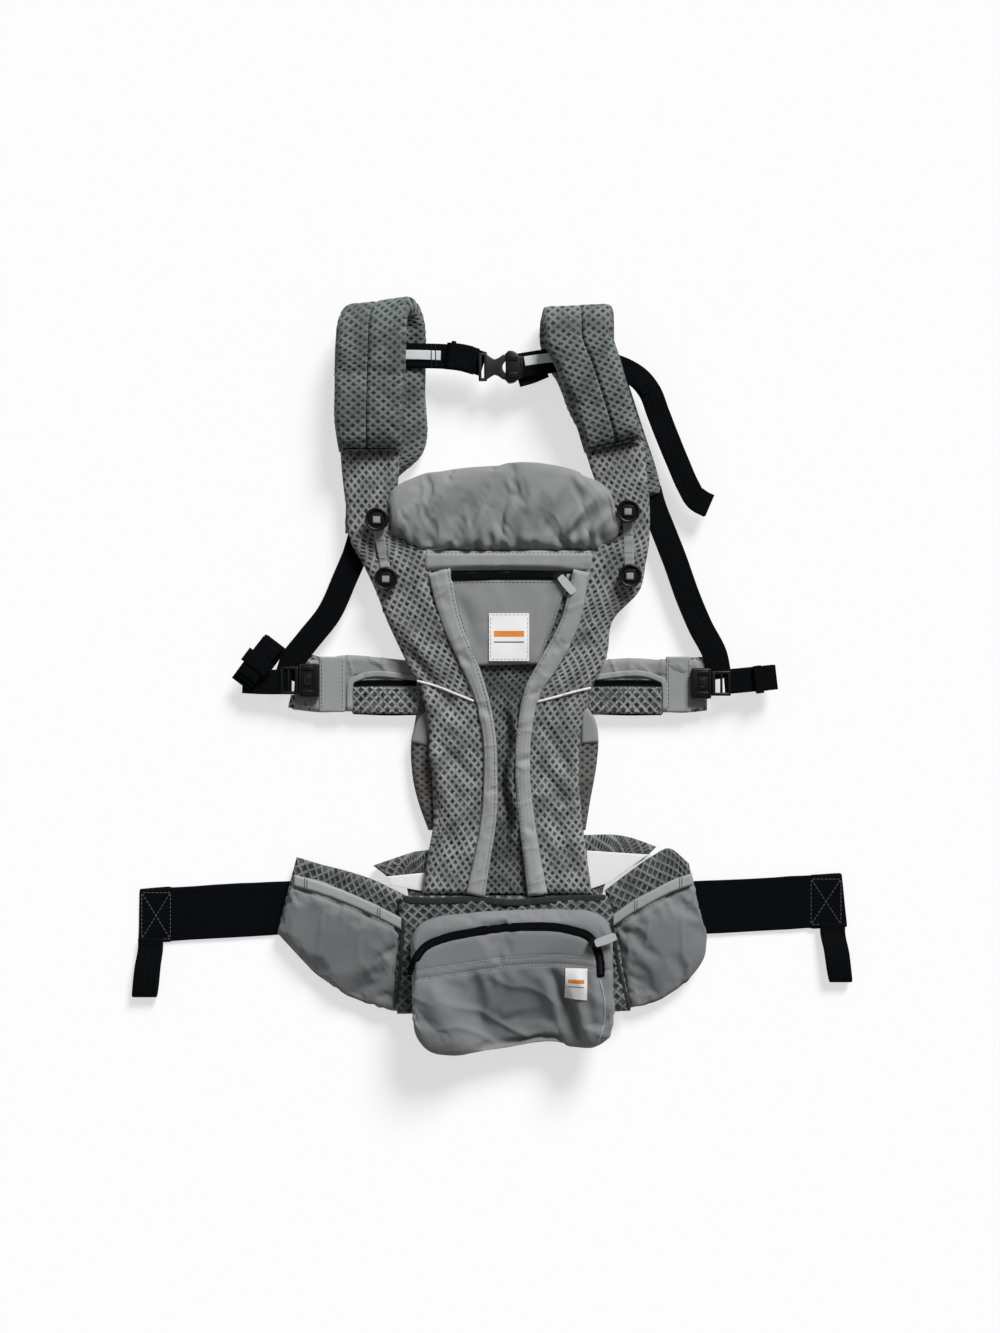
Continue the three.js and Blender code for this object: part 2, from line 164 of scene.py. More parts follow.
# ---------------------------------------------------------------- slabs
def spread(length, radius, step):
    """Places from 0 to 1, one a step, and closer over the rounded ends."""
    share = min(0.49, radius / length)
    rim = share * (1 - np.cos(np.linspace(0, np.pi / 2, 5)[:-1]))
    middle = np.linspace(share, 1 - share, max(2, round(length * (1 - 2 * share) / step) + 1))
    return np.r_[rim, middle, 1 - rim[::-1]]


def rounding(distance, radius):
    return np.sqrt(np.clip(1 - (1 - np.clip(distance / radius, 0, 1)) ** 2, 0, 1))


class Slab:
    """A closed piece between two edges: rows run along the edges, columns across."""

    def __init__(self, left, right, thick, step=3.0, rim=None, ends=None, crown=0.0):
        left, right = np.array(left, float), np.array(right, float)
        along = (chord(left) + chord(right)) / 2
        self.length = along[-1]
        self.width = float(np.mean(np.linalg.norm(right - left, axis=1)))
        rim = thick / 2 if rim is None else rim
        ends = rim if ends is None else ends
        self.t = spread(self.length, ends, step)
        self.s = spread(self.width, rim, step)
        at = self.t * self.length
        lefts, rights = hermite(along, left, at), hermite(along, right, at)
        self.widths = np.linalg.norm(rights - lefts, axis=1)[:, None]
        s = self.s[None, :, None]
        middle = lefts[:, None] * (1 - s) + rights[:, None] * s
        normal = self._normals(middle)
        thick = self._over(thick)
        body = rounding(np.minimum(self.s, 1 - self.s)[None] * self.widths, rim)
        body = body * rounding(np.minimum(self.t, 1 - self.t) * self.length, ends)[:, None]
        bow = crown * (1 - (2 * self.s[None] - 1) ** 2) * (1 - (2 * self.t[:, None] - 1) ** 4)
        half = (thick / 2 * body)[..., None]
        self.top = middle + normal * (half + bow[..., None] * body[..., None])
        self.bottom = middle - normal * half
        self.body = body

    def _over(self, value):
        """A number, or a function of the share along, as one value a row."""
        if callable(value):
            return np.array([value(t) for t in self.t])[:, None]
        return value

    @staticmethod
    def _normals(grid):
        normal = np.cross(np.gradient(grid, axis=1), np.gradient(grid, axis=0))
        return normal / np.maximum(np.linalg.norm(normal, axis=2, keepdims=True), 1e-9)

    @property
    def u(self):
        return (self.s[None] - 0.5) * self.widths

    @property
    def v(self):
        return np.repeat(self.t[:, None] * self.length, len(self.s), axis=1)

    def relief(self, function, under=None):
        """Moves the top by function(u, v, x, y) mm along its normal, and the underside by `under`."""
        edge = np.minimum(1, 1.6 * self.body)
        normal = self._normals(self.top)
        rise = function(self.u, self.v, *self.top[..., :2].T.swapaxes(1, 2)) * edge
        self.top = self.top + normal * rise[..., None]
        if under is not None:
            normal = self._normals(self.bottom)
            move = under(self.u, self.v, *self.bottom[..., :2].T.swapaxes(1, 2)) * edge
            self.bottom = self.bottom - normal * move[..., None]
        return self

    def refined(self, step):
        """The same surface on a finer grid, for relief after a simulation."""
        t = spread(self.length, 6, step)
        s = spread(self.width, 6, step)
        for side in ("top", "bottom"):
            grid = hermite(self.t, getattr(self, side), t)
            setattr(self, side, hermite(self.s, grid.swapaxes(0, 1), s).swapaxes(0, 1))
        self.widths = hermite(self.t, self.widths, t)
        body = hermite(self.t, self.body, t)
        self.body = np.clip(hermite(self.s, body.T, s).T, 0, 1)
        self.t, self.s = t, s
        self.body[[0, -1]] = 0
        self.body[:, [0, -1]] = 0
        return self

    def mesh(self, name):
        rows, cols = len(self.t), len(self.s)
        number = np.arange(rows * cols).reshape(rows, cols)
        under = number.copy()
        inner = np.zeros((rows, cols), bool)
        inner[1:-1, 1:-1] = True
        under[inner] = rows * cols + np.arange(inner.sum())
        points = np.concatenate([self.top.reshape(-1, 3), self.bottom[inner]]) * MM

        def quads(grid, flip):
            a, b, c, d = grid[:-1, :-1], grid[:-1, 1:], grid[1:, 1:], grid[1:, :-1]
            order = (a, d, c, b) if flip else (a, b, c, d)
            return np.stack(order, axis=-1).reshape(-1, 4)

        faces = np.concatenate([quads(number, False), quads(under, True)])
        data = bpy.data.meshes.new(name)
        data.vertices.add(len(points))
        data.vertices.foreach_set("co", points.astype(np.float32).ravel())
        data.loops.add(faces.size)
        data.loops.foreach_set("vertex_index", faces.ravel().astype(np.int32))
        data.polygons.add(len(faces))
        data.polygons.foreach_set("loop_start", np.arange(0, faces.size, 4, dtype=np.int32))
        data.update(calc_edges=True)
        place = np.stack([self.u, self.v], axis=-1)
        place = np.concatenate([place.reshape(-1, 2), place[inner]]) * MM
        layer = data.uv_layers.new(name="cloth")
        layer.data.foreach_set("uv", place[faces.ravel()].astype(np.float32).ravel())
        data.shade_smooth()
        return data


def puffed(slab, pressure=3.0, slack=0.03, cap=5.0, frames=18):
    """Swells a slab by cloth simulation, with its rim held as the seam."""
    piece = bpy.data.objects.new("puff", slab.mesh("puff"))
    bpy.context.scene.collection.objects.link(piece)
    rows, cols = len(slab.t), len(slab.s)
    before = np.array([v.co for v in piece.data.vertices])
    rim = [i * cols + j for i in range(rows) for j in range(cols) if i in (0, rows - 1) or j in (0, cols - 1)]
    piece.vertex_groups.new(name="seam").add(rim, 1.0, "REPLACE")
    cloth = piece.modifiers.new("Cloth", "CLOTH")
    cloth.settings.use_pressure = True
    cloth.settings.uniform_pressure_force = pressure
    cloth.settings.vertex_group_mass = "seam"
    cloth.settings.shrink_min = -slack
    cloth.settings.effector_weights.gravity = 0
    cloth.settings.quality = 6
    cloth.settings.mass = 0.2
    cloth.collision_settings.use_collision = False
    cloth.point_cache.frame_start = 1
    cloth.point_cache.frame_end = frames
    scene = bpy.context.scene
    for number in range(1, frames + 1):
        scene.frame_set(number)
    moved = piece.evaluated_get(bpy.context.evaluated_depsgraph_get()).to_mesh()
    after = np.array([v.co for v in moved.vertices])
    move = (after - before) / MM
    size = np.linalg.norm(move, axis=1, keepdims=True)
    move *= np.minimum(1, cap / np.maximum(size, 1e-6))
    bpy.data.objects.remove(piece)
    scene.frame_set(1)
    count = rows * cols
    slab.top = slab.top + move[:count].reshape(rows, cols, 3)
    slab.bottom[1:-1, 1:-1] += move[count:].reshape(rows - 2, cols - 2, 3)
    return slab


def lift(points, z):
    """Flat points raised to a height, or to a height each."""
    points = np.array(points, float)
    z = np.broadcast_to(np.array(z, float), (len(points),))
    return np.column_stack([points[:, :2], z])


def beside(points, width):
    """Left and right edges of a band of that width along a 3-D centreline that lies flat."""
    points = np.array(points, float)
    ahead = np.gradient(points, axis=0)
    across = np.column_stack([ahead[:, 1], -ahead[:, 0], np.zeros(len(points))])
    across /= np.maximum(np.linalg.norm(across, axis=1, keepdims=True), 1e-9)
    return points - across * width / 2, points + across * width / 2


# ---------------------------------------------------------------- materials
def linear(red, green, blue):
    """A colour given as 0 to 255 screen values, as Blender's linear one."""
    def channel(value):
        value /= 255
        return value / 12.92 if value <= 0.04045 else ((value + 0.055) / 1.055) ** 2.4

    return (channel(red), channel(green), channel(blue), 1)


class Shader:
    """A material being built, with short calls for its nodes."""

    def __init__(self, name, colour, rough, metal=0.0, sheen=0.0, specular=0.5):
        self.material = bpy.data.materials.new(name)
        self.material.use_nodes = True
        self.nodes = self.material.node_tree.nodes
        self.links = self.material.node_tree.links
        self.base = self.nodes["Principled BSDF"]
        self.base.inputs["Base Color"].default_value = colour
        self.base.inputs["Roughness"].default_value = rough
        self.base.inputs["Metallic"].default_value = metal
        self.base.inputs["Sheen Weight"].default_value = sheen
        self.base.inputs["Specular IOR Level"].default_value = specular
        self.material.diffuse_color = colour

    def node(self, kind, **settings):
        made = self.nodes.new(kind)
        for key, value in settings.items():
            setattr(made, key, value)
        return made

    def feed(self, node, **values):
        for key, value in values.items():
            socket = node.inputs[int(key[1:])] if key[0] == "_" and key[1:].isdigit() else node.inputs[key]
            if isinstance(value, bpy.types.NodeSocket):
                self.links.new(value, socket)
            else:
                socket.default_value = value
        return node

    def math(self, operation, first, second=0.0, clamp=False):
        made = self.node("ShaderNodeMath", operation=operation, use_clamp=clamp)
        return self.feed(made, _0=first, _1=second).outputs[0]

    def uv(self):
        place = self.node("ShaderNodeUVMap", uv_map="cloth")
        split = self.feed(self.node("ShaderNodeSeparateXYZ"), Vector=place.outputs[0])
        return place.outputs[0], split.outputs[0], split.outputs[1]

    def grain(self, scale, detail=3.0, vector=None):
        place = self.node("ShaderNodeTexCoord").outputs["Object"] if vector is None else vector
        return self.feed(self.node("ShaderNodeTexNoise"), Vector=place, Scale=scale, Detail=detail).outputs[0]

    def ramp(self, value, low, high, out_low, out_high, smooth=True):
        made = self.node("ShaderNodeMapRange", interpolation_type="SMOOTHSTEP" if smooth else "LINEAR")
        return self.feed(made, _0=value, _1=low, _2=high, _3=out_low, _4=out_high).outputs[0]

    def mix(self, share, first, second):
        made = self.node("ShaderNodeMix", data_type="RGBA")
        self.feed(made, _0=share, _6=first, _7=second)
        return made.outputs[2]

    def scaled(self, colour, factor):
        """A colour made lighter or darker by a value."""
        return self.mix(self.math("SUBTRACT", 1.0, factor, clamp=True), colour, (0, 0, 0, 1))

    def bump(self, height, distance, strength=1.0, under=None):
        made = self.feed(self.node("ShaderNodeBump"), Height=height, Distance=distance, Strength=strength)
        if under is not None:
            self.links.new(under, made.inputs["Normal"])
        return made.outputs[0]

    def colour(self, value):
        self.links.new(value, self.base.inputs["Base Color"])

    def normal(self, value):
        self.links.new(value, self.base.inputs["Normal"])


def mesh_fabric(name, ridge, hole, mesh):
    """Spacer mesh: light ridges round dark holes, over a fine knit; the holes' dark colour is partly the knit
    beneath and partly painted shade in the recess. Wear fades the ridges in patches.
    """
    shader = Shader(name, ridge, 0.9, sheen=0.04, specular=0.12)
    _, u, v = shader.uv()
    across, along, low, high = mesh
    u = shader.math("MULTIPLY", u, 2 * math.pi / (across * MM))
    v = shader.math("MULTIPLY", v, 2 * math.pi / (along * MM))
    one = shader.math("COSINE", shader.math("ADD", u, v))
    other = shader.math("COSINE", shader.math("SUBTRACT", u, v))
    net = shader.math("MINIMUM", one, other)
    ragged = shader.math("ADD", net, shader.ramp(shader.grain(700.0), 0.3, 0.7, -0.32, 0.32, smooth=False))
    # The hole colour, mixed in by depth, is partly the knit beneath and partly painted shade in the recess;
    # shallow lightens that shade in random patches.
    depth = shader.ramp(ragged, low - 0.1, high + 0.15, 0.0, 1.0)
    faded = shader.ramp(shader.grain(48.0, detail=4.0), 0.36, 0.64, 0.45, 0.0)
    shallow = shader.ramp(shader.grain(160.0, detail=1.0), 0.3, 0.7, 0.0, 0.5)
    light = shader.mix(faded, ridge, hole)
    dark = shader.mix(shader.math("MULTIPLY", shallow, 0.55), hole, ridge)
    knit = shader.ramp(shader.grain(2400.0, detail=1.0), 0.35, 0.65, 0.74, 1.0)
    shader.colour(shader.scaled(shader.mix(depth, light, dark), knit))
    lump = shader.bump(shader.math("SUBTRACT", 1.0, depth), 0.0007, 0.6)
    shader.normal(shader.bump(knit, 0.0002, 0.5, under=lump))
    return shader.material


def twill_fabric(name, colour, uneven=0.12):
    """Smooth woven cloth with a fine diagonal rib and faint wear."""
    shader = Shader(name, colour, 0.85, sheen=0.06, specular=0.2)
    _, u, v = shader.uv()
    rib = shader.math("SINE", shader.math("MULTIPLY", shader.math("ADD", u, v), 2 * math.pi / (1.1 * MM)))
    yarn = shader.math("SINE", shader.math("MULTIPLY", shader.math("SUBTRACT", u, v),
                                           2 * math.pi / (0.9 * MM)))
    weave = shader.ramp(shader.math("ADD", rib, yarn), -2, 2, 0.0, 1.0, smooth=False)
    cloud = shader.ramp(shader.grain(14.0), 0.3, 0.7, 1 - uneven, 1.0)
    speck = shader.ramp(shader.grain(1500.0, detail=1.0), 0.3, 0.7, 0.9, 1.0)
    thread = shader.ramp(weave, 0.0, 1.0, 0.9, 1.0, smooth=False)
    shader.colour(shader.scaled(colour,
                                shader.math("MULTIPLY", shader.math("MULTIPLY", cloud, speck), thread)))
    shader.normal(shader.bump(weave, 0.00012, 0.6))
    return shader.material


def webbing_fabric(name, colour, pitch=1.3):
    """Woven strap: ribs across it, with a chevron in each."""
    shader = Shader(name, colour, 0.8, specular=0.06)
    _, u, v = shader.uv()
    slant = shader.math("PINGPONG", shader.math("ADD", u, 0.5), 0.003)
    rib = shader.math("SINE", shader.math("MULTIPLY", shader.math("ADD", v, slant),
                                          2 * math.pi / (pitch * MM)))
    raised = shader.ramp(rib, -1, 1, 0.0, 1.0, smooth=False)
    speck = shader.ramp(shader.grain(1200.0, detail=1.0), 0.3, 0.7, 0.7, 1.0)
    shader.colour(shader.scaled(colour, shader.math("MULTIPLY", speck, shader.ramp(raised, 0, 1, 0.6, 1.0))))
    shader.normal(shader.bump(raised, 0.0003, 0.8))
    return shader.material


def moulded_plastic(name, colour, rough=0.42):
    shader = Shader(name, colour, rough, specular=0.28)
    fine = shader.grain(1800.0, detail=2.0)
    shader.colour(shader.scaled(colour, shader.ramp(shader.grain(60.0), 0.3, 0.7, 0.8, 1.0)))
    shader.normal(shader.bump(fine, 0.00008, 0.5))
    return shader.material


def metal(name, colour):
    shader = Shader(name, colour, 0.38, metal=0.55)
    streak = shader.grain(900.0, detail=2.0)
    shader.colour(shader.scaled(colour, shader.ramp(streak, 0.3, 0.7, 0.82, 1.0)))
    shader.normal(shader.bump(streak, 0.00006, 0.5))
    return shader.material


def woven_label(name, ground, bands):
    """White woven label. Bands are plain stripes: (low v, high v, colour), as shares of its length in mm."""
    shader = Shader(name, ground, 0.75, specular=0.3)
    _, u, v = shader.uv()
    colour = ground
    for low, high, side, paint in bands:
        above = shader.math("GREATER_THAN", v, low * MM)
        below = shader.math("LESS_THAN", v, high * MM)
        inside = shader.math("LESS_THAN", shader.math("ABSOLUTE", u), side * MM)
        share = shader.math("MULTIPLY", shader.math("MULTIPLY", above, below), inside)
        colour = shader.mix(share, colour, paint)
    thread = shader.math("SINE", shader.math("MULTIPLY", v, 2 * math.pi / (0.7 * MM)))
    shader.colour(shader.scaled(colour, shader.ramp(thread, -1, 1, 0.93, 1.0)))
    shader.normal(shader.bump(thread, 0.00008, 0.5))
    return shader.material


MATERIALS = {
    "twill": twill_fabric("grey_twill", linear(140, 142, 142)),
    # Lighter copy of the same grey twill, used on the rails, bands, hems, tabs and button tape: its lighter
    # tone is painted light.
    "twill_painted_lit": twill_fabric("grey_twill_painted_lit", linear(154, 156, 156)),
    # Darker copy of the same grey twill, used on the wing covers and the pouch: its darker tone is painted
    # shade.
    "twill_painted_shade": twill_fabric("grey_twill_painted_shade", linear(126, 128, 129)),
    "lining": twill_fabric("dark_lining", linear(44, 47, 47)),
    # The second colour of each mesh is its holes: partly the knit beneath, partly painted shade.
    "strap_mesh": mesh_fabric("strap_mesh", linear(124, 130, 127), linear(44, 49, 47), STRAP_MESH),
    "inner_mesh": mesh_fabric("inner_mesh", linear(112, 110, 107), linear(52, 52, 50), STRAP_MESH),
    "panel_mesh": mesh_fabric("panel_mesh", linear(156, 157, 157), linear(36, 37, 37), PANEL_MESH),
    "arm_mesh": mesh_fabric("arm_mesh", linear(158, 160, 161), linear(30, 31, 32), ARM_MESH),
    "net_mesh": mesh_fabric("net_mesh", linear(132, 135, 135), linear(42, 45, 45), NET_MESH),
    "centre_mesh": mesh_fabric("centre_mesh", linear(112, 113, 114), linear(30, 31, 32), PANEL_MESH),
    "webbing": webbing_fabric("black_webbing", linear(9, 12, 15)),
    "hook_tape": webbing_fabric("hook_tape", linear(6, 10, 15), pitch=2.2),
    "plastic": moulded_plastic("black_plastic", linear(10, 11, 13)),
    "grey_plastic": moulded_plastic("grey_plastic", linear(34, 36, 39)),
    "steel": metal("pull_tab_metal", linear(222, 223, 224)),
    "reflective": twill_fabric("reflective_tape", linear(224, 227, 229), uneven=0.1),
    "piping": twill_fabric("pale_piping", linear(226, 226, 222), uneven=0.05),
    "thread": twill_fabric("grey_thread", linear(84, 86, 88), uneven=0.02),
    "pale_thread": twill_fabric("pale_thread", linear(150, 152, 153), uneven=0.02),
    "black_thread": twill_fabric("black_thread", linear(12, 13, 15), uneven=0.02),
    "care_label": woven_label("care_label", linear(232, 233, 232), []),
    "big_label": woven_label("big_label", linear(240, 240, 238), [
        (24, 30, 15, linear(224, 138, 60)), (18, 19.5, 15, linear(110, 112, 115)),
    ]),
    "small_label": woven_label("small_label", linear(240, 240, 238), [
        (16, 20, 8, linear(224, 138, 60)), (12, 13, 8, linear(110, 112, 115)),
    ]),
}


# ---------------------------------------------------------------- pieces
def link(name, data, material, replaces=()):
    piece = bpy.data.objects.new(name, data)
    bpy.context.scene.collection.objects.link(piece)
    data.materials.append(MATERIALS[material])
    if replaces:
        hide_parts(*replaces)
    return piece


def cloth(name, slab, material, body, slot="twill", replaces=()):
    """A slab as a piece that rides on a body."""
    piece = link(name, slab.mesh(name), material, replaces)
    if body:
        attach(piece, body)
    return piece


def drop(points, onto, rise=0.0):
    """Flat points laid on top of pieces, `rise` mm above them."""
    trees = [BVHTree.FromPolygons([v.co for v in o.data.vertices], [p.vertices for p in o.data.polygons])
             for o in onto]
    laid = []
    for x, y in np.array(points, float)[:, :2]:
        start = Vector((x * MM, y * MM, 1.0))
        found = [tree.ray_cast(start, Vector((0, 0, -1)))[0] for tree in trees]
        found = [hit.z / MM for hit in found if hit is not None]
        laid.append((x, y, (max(found) if found else np.nan) + rise))
    laid = np.array(laid)
    return laid[~np.isnan(laid[:, 2])]


def tube(points, radius, sides=8):
    """Vertices and faces of a round tube along points."""
    points = np.array(points, float)
    ahead = np.gradient(points, axis=0)
    ahead /= np.maximum(np.linalg.norm(ahead, axis=1, keepdims=True), 1e-9)
    across = np.cross(ahead, (0, 0, 1.0))
    across /= np.maximum(np.linalg.norm(across, axis=1, keepdims=True), 1e-9)
    rise = np.cross(across, ahead)
    turn = np.linspace(0, 2 * np.pi, sides, endpoint=False)
    ring = np.cos(turn)[None, :, None] * across[:, None] + np.sin(turn)[None, :, None] * rise[:, None]
    verts = (points[:, None] + radius * ring).reshape(-1, 3)
    faces = []
    for row in range(len(points) - 1):
        for k in range(sides):
            nxt = (k + 1) % sides
            faces.append((row * sides + k, row * sides + nxt, (row + 1) * sides + nxt, (row + 1) * sides + k))
    last = (len(points) - 1) * sides
    faces.append(tuple(range(sides))[::-1])
    faces.append(tuple(last + k for k in range(sides)))
    return verts, faces


def merged(name, parts, material, body, replaces=()):
    """Several (vertices, faces) as one piece."""
    verts, faces, base = [], [], 0
    for part_verts, part_faces in parts:
        verts.append(part_verts)
        faces += [tuple(base + k for k in face) for face in part_faces]
        base += len(part_verts)
    data = bpy.data.meshes.new(name)
    places = np.concatenate(verts) * MM
    data.from_pydata(places.tolist(), [], faces)
    data.shade_smooth()
    data.set_sharp_from_angle(angle=math.radians(32))
    corners = np.zeros(len(data.loops), np.int32)
    data.loops.foreach_get("vertex_index", corners)
    data.uv_layers.new(name="cloth").data.foreach_set("uv", places[corners, :2].astype(np.float32).ravel())
    piece = link(name, data, material, replaces)
    if body:
        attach(piece, body)
    return piece


def block(points, low, high, bevel=0.8):
    """Vertices and faces of an upright solid with rounded edges, from a flat outline."""
    shape = bmesh.new()
    face = shape.faces.new([shape.verts.new((x, y, low)) for x, y in points])
    raised = bmesh.ops.extrude_face_region(shape, geom=[face])["geom"]
    moved = [item for item in raised if isinstance(item, bmesh.types.BMVert)]
    bmesh.ops.translate(shape, vec=(0, 0, high - low), verts=moved)
    bmesh.ops.recalc_face_normals(shape, faces=shape.faces)
    bmesh.ops.bevel(shape, geom=shape.edges[:], offset=bevel, segments=3, profile=0.5, affect="EDGES",
                    clamp_overlap=True)
    shape.verts.index_update()
    verts = np.array([v.co for v in shape.verts])
    faces = [tuple(v.index for v in f.verts) for f in shape.faces]
    shape.free()
    return verts, faces


def bar(x0, x1, y0, y1, low, high, bevel=0.8):
    return block([(x0, y0), (x1, y0), (x1, y1), (x0, y1)], low, high, bevel)


def ring(centre, radius, thick, z, sides=28):
    """A round ring lying flat."""
    x, y = centre
    turn = np.linspace(0, 2 * np.pi, sides + 1)
    path = np.column_stack([x + radius * np.cos(turn), y + radius * np.sin(turn), np.full(sides + 1, z)])
    return tube(path, thick, sides=8)


def stitches(name, lines, onto, body, material="thread", length=2.6, gap=1.5, radius=0.34):
    """Rows of thread dashes along flat lines, laid on pieces."""
    parts = []
    for line in lines:
        path = drop(smooth_line(line, 0.8), onto, radius * 0.5)
        along = chord(path)
        starts = np.arange(gap, along[-1] - length, length + gap)
        for start in starts:
            at = start + np.linspace(0, length, 4)
            dash = np.column_stack([np.interp(at, along, path[:, k]) for k in range(3)])
            dash[[0, -1], 2] -= radius * 1.1
            parts.append(tube(dash, radius, sides=5))
    return merged(name, parts, material, body)


# ---------------------------------------------------------------- outlines, in mm
# Each rail: (x, y, width) down its middle.
RAILS = {
    "left": [(-18, -220, 19), (-12.5, -190, 17), (-4.5, -140, 15.5), (-3, -98, 14), (-4.5, -60, 13.5),
             (-11, -26, 14), (-23, 8, 17), (-40.5, 49, 19), (-54.5, 104, 23)],
    "right": [(44, -220, 20), (38, -180, 17), (32.5, -139, 16), (29, -98, 15), (31, -56, 15), (40, -14, 17),
              (55.5, 11.5, 20), (75, 49.5, 19), (88, 104, 17)],
}
SIDE_OUTER = {
    "left": [(-72, -221), (-65, -176), (-60.5, -149), (-61.5, -105), (-64, -65), (-71, -20), (-88, 14),
             (-107, 55), (-119, 86), (-132, 113), (-143.5, 136), (-148, 168), (-151.5, 196), (-154, 226)],
    "right": [(99, -221), (92.5, -172), (88.5, -139), (85.5, -98), (88, -55), (96, -20), (113, 18),
              (120, 55), (146.5, 85), (153, 113), (156.5, 136), (157, 165), (154, 200), (150, 235)],
}
SIDE_INNER = {
    "left": [(-22, -220), (-16, -183), (-8, -145), (-6, -100), (-8, -58), (-15, -16), (-34, 18),
             (-51, 66), (-60, 100), (-68, 126), (-97, 142), (-100, 168), (-96, 190), (-94, 226)],
    "right": [(48, -220), (41, -182), (36, -143), (32.5, -100), (34, -58), (43, -16), (60, 10),
              (78, 52), (89, 88), (97, 125), (118, 142), (122, 158), (102, 195), (92, 224)],
}
SIDE_FOLDS = {
    "left": [((-66, 95), (-22, 20), 5, -4), ((-100, 60), (-50, -5), 7, 3.4), ((-78, 0), (-26, -50), 7, -3.6),
             ((-66, -70), (-20, -190), 8, 3.2), ((-60, -120), (-60, -205), 6, -3),
             ((-120, 150), (-90, 100), 6, 3),
             ((-62, -60), (-16, -110), 6, -2.6), ((-92, 30), (-40, -30), 5, -2.4)],
    "right": [((92, 90), (50, 0), 5, -4), ((112, 40), (60, -20), 7, 3.2), ((46, -46), (86, -112), 7, -3.8),
              ((44, -86), (84, -150), 7, -3.2), ((88, -80), (60, -190), 7, 2.6),
              ((54, -120), (84, -205), 6, -2.6),
              ((140, 150), (112, 100), 6, 3), ((102, 70), (58, 4), 5, -2.2)],
}


def side_panels():
    """The two mesh sides of the body panel."""
    low, high = heights("side_mesh_left")
    panels = {}
    for side in ("left", "right"):
        inner = lift(SIDE_INNER[side], (low + high) / 2)
        outer = lift(SIDE_OUTER[side], (low + high) / 2 - 2)
        edges = (outer, inner) if side == "left" else (inner, outer)
        slab = Slab(*edges, lambda t: high - low - 6.5 * smoothstep(0.72, 0.86, t), step=1.35, rim=7)

        def surface(u, v, x, y):
            slack = 1.8 * crumple(x, y, 34, 70, 2.2, layer=1) + 1.6 * creases(x, y, 26, 60, 2.5, layer=2)
            return slack + folds(x, y, SIDE_FOLDS[side]) - HOLE_DEPTH * holes(u, v, PANEL_MESH)

        slab.relief(surface, lambda u, v, x, y: -HOLE_DEPTH * holes(u, v, PANEL_MESH))
        name = f"cloth_side_mesh_{side}"
        panels[side] = link(name, slab.mesh(name), "panel_mesh", [f"side_mesh_{side}"])
    return panels


def blend_side_panels(panels):
    for panel in panels.values():
        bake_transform(panel)


def rails():
    """Flat bands of smooth cloth, edge stitched, that frame the pocket and run down to the belt."""
    high = heights("rail_left")[1]
    pinches = {
        "left": [((-12, -30), (-2, -42), 4, -2.2), ((-8, -118), (2, -112), 3.5, -1.6),
                 ((-34, 22), (-22, 8), 4, -1.8), ((-52, 80), (-44, 66), 5, -1.2)],
        "right": [((24, -88), (38, -82), 3.5, -2.2), ((36, -22), (48, -12), 4, -2),
                  ((62, 22), (70, 34), 5, -1.8), ((34, -150), (42, -158), 4, -1.4)],
    }
    for side, places in RAILS.items():
        places = np.array(places, float)
        left, right = beside(lift(places, high - 4.5), places[:, 2:])
        slab = Slab(left, right, 9, step=1.6, rim=4, ends=4)

        def surface(u, v, x, y):
            edge = np.abs(u) - slab.widths / 2 + 3.2
            return (1.0 * crumple(x, y, 12, 90, 2, layer=4) - 1.2 * groove(edge, 0.8)
                    + folds(x, y, pinches[side])
                    + 0.8 * creases(x, y, 14, 20, 2, layer=6))

        slab.relief(surface)
        piece = cloth(f"cloth_rail_{side}", slab, "twill_painted_lit", "panel", "twill", [f"rail_{side}"])
        inner = -1 if side == "right" else 1
        ahead = np.gradient(places[:, :2], axis=0)
        across = np.column_stack([ahead[:, 1], -ahead[:, 0]]) / np.linalg.norm(ahead, axis=1, keepdims=True)
        seam = places[:, :2] + across * inner * (places[:, 2:] / 2 - 2.6)
        stitches(f"rail_stitches_{side}", [seam], [piece], "panel", "thread", radius=0.3)


def centre_panel():
    low, high = heights("centre_mesh")
    left, right = (np.array(RAILS[side])[:, :2] for side in ("left", "right"))
    slab = Slab(lift(left + (4, 0), (low + high) / 2), lift(right - (4, 0), (low + high) / 2), high - low,
                step=1.35, rim=3)

    def surface(u, v, x, y):
        line = 12 + 3.5 * np.sin(y / 13)
        reach = smoothstep(-185, -145, y) * (1 - smoothstep(-60, -20, y))
        gather = 7 * groove(x - line - 8, 5) - 8 * groove(x - line, 4) + 3 * groove(x - line + 12, 6)
        slack = 1.8 * crumple(x, y, 16, 80, 2.5, layer=5) + 2 * creases(x, y, 18, 120, 2.5, layer=9)
        return gather * reach + slack - HOLE_DEPTH * holes(u, v, PANEL_MESH)

    slab.relief(surface)
    piece = cloth("cloth_centre_mesh", slab, "centre_mesh", "panel", "dark_mesh", ["centre_mesh"])


def inner_panel():
    low, high = heights("inner_panel")
    left = [(-66, -157), (-76, -129), (-82.5, -98), (-83.5, -71), (-79, -44), (-76.5, 20), (-80, 114)]
    right = [(93, -157), (97.5, -129), (104.5, -88), (105.5, -63), (97, -42), (96, 20), (104, 114)]
    slab = Slab(lift(left, (low + high) / 2), lift(right, (low + high) / 2), high - low, step=1.7, rim=6)

    def surface(u, v, x, y):
        return crumple(x, y, 30, 60, 2, layer=6) - HOLE_DEPTH * holes(u, v, STRAP_MESH)

    slab.relief(surface, surface)
    piece = cloth("cloth_inner_panel", slab, "inner_mesh", "panel", "mesh", ["inner_panel"])
    crescents = {
        "left": ([(-66, -34), (-76, -44), (-80.5, -55), (-83.5, -68)],
                 [(-58, -40), (-62, -50), (-64, -60), (-66, -72)]),
        "right": ([(86, -38), (88, -48), (88, -58), (88, -70)],
                  [(95, -33), (102, -44), (105, -55), (106, -68)]),
    }
    for side, edges in crescents.items():
        smooth = Slab(*(lift(edge, high - 1.5) for edge in edges), 7, step=1.8, rim=3)
        smooth.relief(lambda u, v, x, y: crumple(x, y, 12, 60, 2, layer=3))
        cloth(f"panel_binding_{side}", smooth, "twill", "panel")


